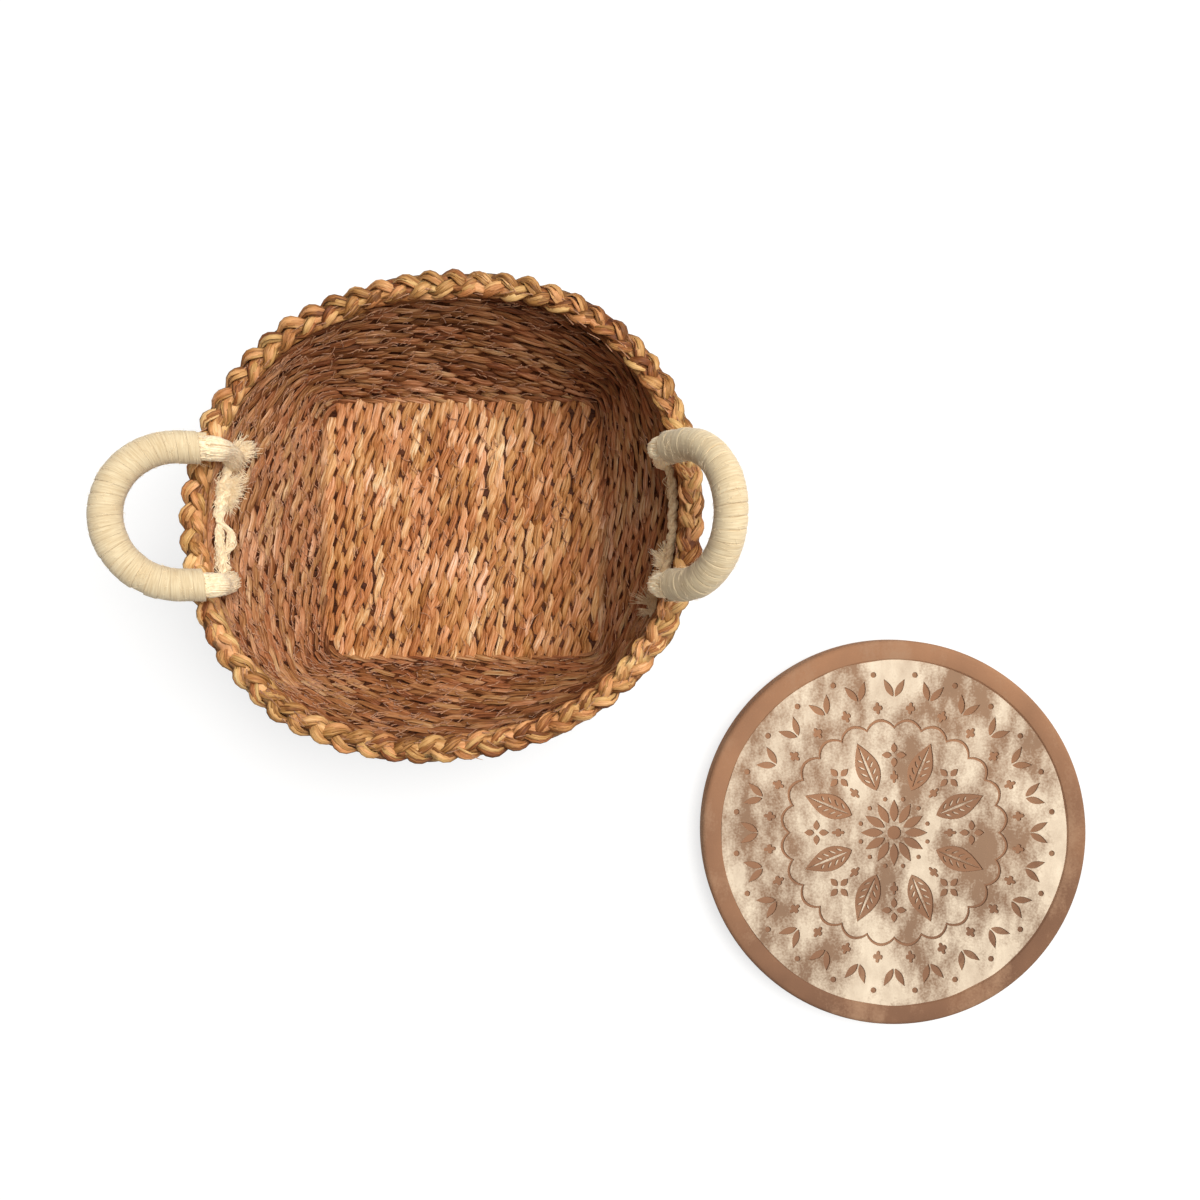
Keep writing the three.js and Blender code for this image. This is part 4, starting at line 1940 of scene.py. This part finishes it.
@dataclass(frozen=True)
class WarmingStone:
    """Clay disc with a plain band and a pressed field under a cream wash.

    Attributes:
        centre: Its middle on the table.
        radius: Its radius.
        thickness: Its thickness.
        edge: Rounding of its edge.
        field: Radius of the pressed field.
        recess: Depth of the field below the band.
        pressed: Depth of the motifs in the field.
        segments: Number of steps round it.
        soft: Rounding of the motifs' edges.
    """

    centre: tuple[float, float] = (229 * MM, -161 * MM)
    radius: float = 101.6 * MM
    thickness: float = 15.0 * MM
    edge: float = 2.5 * MM
    field: float = 91.2 * MM
    recess: float = 0.8 * MM
    pressed: float = 0.7 * MM
    segments: int = 180
    soft: float = 0.18 * MM

    def placed(self, shape: Shape, height: float) -> Shape:
        """Joins a shape's doubled corners and moves it to the stone's place.

        Args:
            shape: The shape, which is changed.
            height: How far up it goes.

        Returns:
            The same shape.
        """
        bmesh.ops.remove_doubles(shape, verts=shape.verts, dist=1e-6)
        bmesh.ops.translate(shape, verts=shape.verts, vec=(*self.centre, height))
        return shape

    def disc(self) -> Shape:
        """Turns the clay disc, whose field lies as deep as the pressed motifs.

        Returns:
            Its shape.
        """
        top = self.thickness
        floor = top - self.recess - self.pressed
        outline = [(0.0, 0.0), (self.radius - self.edge, 0.0)]
        turns = [math.pi / 2 * step / 6 for step in range(7)]
        rounds = [(self.edge * (1 - math.sin(turn)), self.edge * (1 - math.cos(turn))) for turn in turns]
        outline += [(self.radius - far, near) for far, near in rounds[1:]]
        outline += [(self.radius - near, top - far) for far, near in rounds]
        inner = self.field + 1.0 * MM
        outline += [(inner, top), (inner - 0.5 * MM, top - 0.25 * MM), (self.field, floor)]
        outline += [(inner * share, floor) for share in (0.66, 0.33, 0.0)]
        shape = bmesh.new()
        corners = [shape.verts.new((across, 0, height)) for across, height in outline]
        edges = [shape.edges.new(pair) for pair in zip(corners, corners[1:])]
        bmesh.ops.spin(
            shape,
            geom=corners + edges,
            cent=(0, 0, 0),
            axis=(0, 0, 1),
            angle=FULL_TURN,
            steps=self.segments,
            use_merge=True,
        )
        shape = self.placed(shape, 0.0)
        bmesh.ops.recalc_face_normals(shape, faces=shape.faces)
        return shape

    def wash(self) -> Shape:
        """Cuts the field with its motifs out of a thin slab, with softened edges.

        Returns:
            Its shape.
        """
        curve = new_curve(
            "field",
            dimensions="2D",
            fill_mode="BOTH",
            extrude=self.pressed / 2,
            bevel_depth=self.soft,
            bevel_resolution=2,
            offset=-self.soft,
        )
        for outline in Rosette(self.field).outlines():
            add_line(curve, columns(*outline.T, 0.0), True)
        middle = self.thickness - self.recess - self.pressed / 2 - self.soft
        return self.placed(gathered([curve_mesh(curve)]), middle)

    def build(self, clay: Material, wash: Material) -> None:
        """Makes the disc and its washed field.

        Args:
            clay: Material of the disc.
            wash: Material of the field.
        """
        body = "warming_stone"
        piece(self.disc(), "clay_disc", clay, Slot.CLAY, "warming_stone", body=body)
        piece(self.wash(), "washed_field", wash, Slot.CLAY, body=body, smooth=False)


@dataclass(frozen=True)
class Rosette:
    """Plain folk pattern of petals, leaves and dots in rings, drawn as flat outlines."""

    radius: float

    def turned(self, outline: Array, angle: float, reach: float = 0.0) -> Array:
        """Moves an outline out along X by reach and turns it round the middle."""
        cosine, sine = math.cos(angle), math.sin(angle)
        return (outline + np.array([reach, 0.0])) @ np.array([[cosine, sine], [-sine, cosine]])

    def leaf(self, length: float, width: float, count: int = 22) -> Array:
        """A leaf along X with two pointed ends.

        Args:
            length: Its length.
            width: Its width.
            count: Points of each side.

        Returns:
            Its outline.
        """
        t = np.linspace(0, 1, count)
        upper = columns((t - 0.5) * length, width / 2 * np.sin(math.pi * t**0.85))
        return np.vstack([upper, (upper * np.array([1, -1]))[-2:0:-1]])

    def dot(self, radius: float, count: int = 16) -> Array:
        """A round dot."""
        turn = np.linspace(0, FULL_TURN, count, endpoint=False)
        return columns(radius * np.cos(turn), radius * np.sin(turn))

    def diamond(self, length: float, width: float) -> Array:
        """A small diamond along X with hollow sides.

        Args:
            length: Its length.
            width: Its width.

        Returns:
            Its outline.
        """
        turn = np.linspace(0, FULL_TURN, 16, endpoint=False)
        pull = np.abs(np.cos(2 * turn)) ** 0.7 * 0.45 + 0.55
        return columns(length / 2 * pull * np.cos(turn), width / 2 * pull * np.sin(turn))

    def scallops(self, reach: float, swell: float, lobes: int, width: float) -> list[Array]:
        """A scalloped line, drawn as its outer and its inner outline.

        Args:
            reach: Distance of the line from the middle.
            swell: Height of a lobe.
            lobes: Number of lobes.
            width: Width of the line.

        Returns:
            The two outlines.
        """
        turn = np.linspace(0, FULL_TURN, lobes * 12, endpoint=False)
        wave = reach + swell * np.abs(np.sin(lobes * turn / 2)) ** 0.8
        lines = (wave + width / 2, wave - width / 2)
        return [columns(line * np.cos(turn), line * np.sin(turn)) for line in lines]

    def veined(self, length: float, width: float) -> list[Array]:
        """A pressed leaf with a raised midrib and side veins left standing in it.

        Args:
            length: Its length.
            width: Its width.

        Returns:
            The outlines of its parts.
        """
        found = [self.leaf(length, width), self.leaf(length * 0.84, width * 0.1, 12)]
        for step in range(4):
            along = (-0.27 + 0.14 * step) * length
            room = width / 2 * math.sin(math.pi * (along / length + 0.56) ** 0.85)
            for hand in (-1, 1):
                vein = self.turned(self.leaf(room * 0.62, 0.8 * MM, 7), hand * 0.75)
                found.append(vein + np.array([along, hand * (0.75 * MM + room * 0.34)]))
        return found

    def outlines(self) -> list[Array]:
        """Draws the whole pattern, its rim first.

        Returns:
            The outlines.
        """
        turn = np.linspace(0, FULL_TURN, 240, endpoint=False)
        uneven = self.radius + wander(seeded(900), 240, 40, 0.18 * MM, True)
        found = [columns(uneven * np.cos(turn), uneven * np.sin(turn)), self.dot(3.6 * MM, 24)]
        for step in range(12):
            angle = FULL_TURN * step / 12
            found.append(self.turned(self.leaf(12 * MM, 4.6 * MM), angle, 11.6 * MM))
            found.append(self.turned(self.dot(1.2 * MM), angle + FULL_TURN / 24, 18.2 * MM))
        for step in range(8):
            angle = FULL_TURN * (step + 0.5) / 8
            leaf = self.veined(27 * MM, 12.5 * MM)
            found += [self.turned(part, angle, 37.5 * MM) for part in leaf]
            between = FULL_TURN * step / 8
            for petal in range(4):
                small = self.leaf(5.4 * MM, 3.4 * MM, 12)
                quarter = self.turned(small, FULL_TURN * petal / 4, 3.9 * MM)
                found.append(self.turned(quarter, between, 41 * MM))
            found.append(self.turned(self.diamond(7 * MM, 4.4 * MM), between, 29.5 * MM))
        found += self.scallops(55.5 * MM, 4.2 * MM, 24, 1.5 * MM)
        for step in range(24):
            angle = FULL_TURN * (step + 0.5) / 24
            found.append(self.turned(self.diamond(6.6 * MM, 5.2 * MM), angle, 66.2 * MM))
            for hand in (-1, 1):
                grain = self.turned(self.leaf(10.5 * MM, 3.6 * MM, 14), hand * 0.5)
                grain = grain + np.array([0.0, hand * 3.0 * MM])
                found.append(self.turned(grain, FULL_TURN * step / 24, 76.5 * MM))
            found.append(self.turned(self.dot(1.5 * MM), angle, 84.0 * MM))
        return found


def add_camera() -> None:
    """Places the camera straight above, as in the photograph."""
    data = with_settings(bpy.data.cameras.new("camera"), sensor_width=36, lens=33.27)
    camera = linked("camera", data)
    camera.location = (0.0736, -0.0381, 0.600)
    bpy.context.scene.camera = camera


def add_lamp(name: str, place: Triple, aim: Triple, size: float, power: float) -> None:
    """Adds a soft round lamp that points at aim.

    Args:
        name: Its name.
        place: Where it hangs.
        aim: Where it points.
        size: Its width.
        power: Its power.
    """
    data = bpy.data.lights.new(name, "AREA")
    lamp = linked(name, with_settings(data, shape="DISK", size=size, energy=power))
    lamp.location = place
    lamp.rotation_euler = (Vector(aim) - Vector(place)).to_track_quat("-Z", "Y").to_euler()


def add_studio() -> None:
    """Makes the pale table, the world and the lamp."""
    shape = bmesh.new()
    bmesh.ops.create_grid(shape, x_segments=1, y_segments=1, size=3.0)
    mesh = bpy.data.meshes.new("table_top")
    shape.to_mesh(mesh)
    shape.free()
    table = linked("table_top", mesh)
    material, sheet, shader = fresh("white_table")
    seen = sheet.put("LightPath").outputs["Is Camera Ray"]
    finish = {
        "Base Color": sheet.mixed(seen, srgb(232, 230, 226), srgb(150, 149, 147)),
        "Roughness": 0.9,
        "Specular IOR Level": 0.1,
        "Emission Color": (1, 1, 1, 1),
        "Emission Strength": sheet.maths("MULTIPLY", seen, 0.74),
    }
    sheet.feed(shader, finish)
    mesh.materials.append(material)
    world = bpy.data.worlds.new("soft_room")
    world.use_nodes = True
    background = world.node_tree.nodes["Background"]
    background.inputs["Color"].default_value = (1.0, 1.0, 1.0, 1)
    background.inputs["Strength"].default_value = 0.16
    bpy.context.scene.world = world
    add_lamp("key", (1.32, 0.66, 3.1), (0.03, -0.02, 0.0), 2.7, 150.0)


GRASS = GrassFinish(
    "twined_grass",
    palette((132, 76, 30), (180, 120, 66), (208, 152, 98), (230, 184, 138), (250, 224, 192)),
    tint=srgb(255, 228, 218),
    straw=srgb(250, 242, 216),
    tint_share=0.8,
    seed=3.0,
    roughness=0.5,
    shade=0.35,
    right_shade=0.13,
)
# Darker than the floor's grass: partly the walls' own browner grass, partly painted shade of the walls
WALL = GrassFinish(
    "wall_grass",
    palette((108, 62, 30), (156, 102, 61), (184, 132, 88), (204, 160, 120), (228, 196, 164)),
    tint=srgb(255, 228, 216),
    straw=srgb(244, 238, 212),
    tint_share=0.8,
    seed=5.0,
    roughness=0.55,
    shade=0.45,
    long_side_shade=0.18,
)
# The stakes' dark tones also paint the shade in the gaps between the stitches
STAKE = GrassFinish(
    "stake_grass",
    palette((60, 28, 8), (86, 44, 14), (108, 60, 22)),
    tint=srgb(255, 226, 205),
    straw=srgb(255, 240, 210),
    tint_share=0.5,
    seed=7.0,
    roughness=0.7,
    shade=0.3,
)
PLAIT = GrassFinish(
    "golden_grass",
    palette((120, 74, 36), (176, 124, 72), (214, 168, 112), (234, 192, 136), (250, 220, 172)),
    tint=srgb(255, 222, 206),
    straw=srgb(250, 244, 218),
    tint_share=0.9,
    seed=11.0,
    roughness=0.5,
    shade=0.5,
    mixture=0.5,
    long_side_shade=0.15,
)
YARN = FibreFinish("cream_yarn", *palette((236, 216, 177), (210, 184, 142)), attribute="lay")
ROPE = FibreFinish("combed_rope", *palette((252, 236, 204), (236, 212, 170)), glow=0.12)
JUTE = FibreFinish("jute_tie", *palette((240, 214, 174), (204, 172, 128)), glow=0.05)
STRAY = FibreFinish("stray_grass", *palette((214, 158, 114), (158, 102, 66)))
CLAY = ClayFinish("brown_clay", *palette((174, 126, 92), (116, 82, 62), (174, 136, 106)), bare=0.4)
WASH = ClayFinish("cream_wash", *palette((150, 110, 80), (122, 88, 64), (237, 218, 191)), bare=0.51)


def main() -> None:
    """Builds the scene piece by piece."""
    logging.basicConfig(level=logging.INFO, format="%(name)s %(message)s")
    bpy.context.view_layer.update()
    add_camera()
    add_studio()
    effects = Effects()
    form = BasketForm()
    grass = GRASS.material(effects)
    rope = ROPE.material(effects)
    yarn = YARN.material(effects)
    FloorMat().build(grass)
    WickerWall(form).build(WALL.material(effects))
    Stakes(form).build(STAKE.material(effects))
    PlaitedRim(form).build(PLAIT.material(effects))
    left = Handle(
        form,
        Side.LEFT,
        math.radians(24),
        woolly=1.5,
        eye=(-9.5 * MM, 7.0 * MM, 5.0 * MM),
        end_inset=3.2 * MM,
        end_reach=2.0 * MM,
        end_swell=(1.0, 1.04, 0.92, 0.8, 0.72),
    )
    right = Handle(
        form,
        Side.RIGHT,
        math.radians(54),
        woolly=0.5,
        end_radius=3.6 * MM,
        end_inset=4.0 * MM,
        end_swell=(1.5, 1.4, 1.15, 1.0, 0.9),
    )
    jute = JUTE.material(effects)
    left.build(yarn, rope, rope)
    right.build(yarn, rope, jute)
    tufts = [
        (Tuft("left_back_tuft", math.radians(162), 0.84, 1.1, (-0.15, -0.35), 0.45), rope),
        (Tuft("left_middle_tuft", math.radians(173), 0.86, 1.5, (0.0, -0.2), 0.45), rope),
        (Tuft("right_middle_tuft", math.radians(-11), 0.86, 1.3, (0.25, -0.55), 0.3), rope),
        (Tuft("right_front_tuft", math.radians(-23), 0.84, 0.85, (0.7, -0.5), 0.42), jute),
    ]
    for tuft, material in tufts:
        tuft.build(form, material)
    Frizz(form).build(STRAY.material(effects))
    WarmingStone().build(CLAY.material(effects), WASH.material(effects))
    bpy.context.scene.view_settings.view_transform = "Standard"


if __name__ == "__main__":
    main()
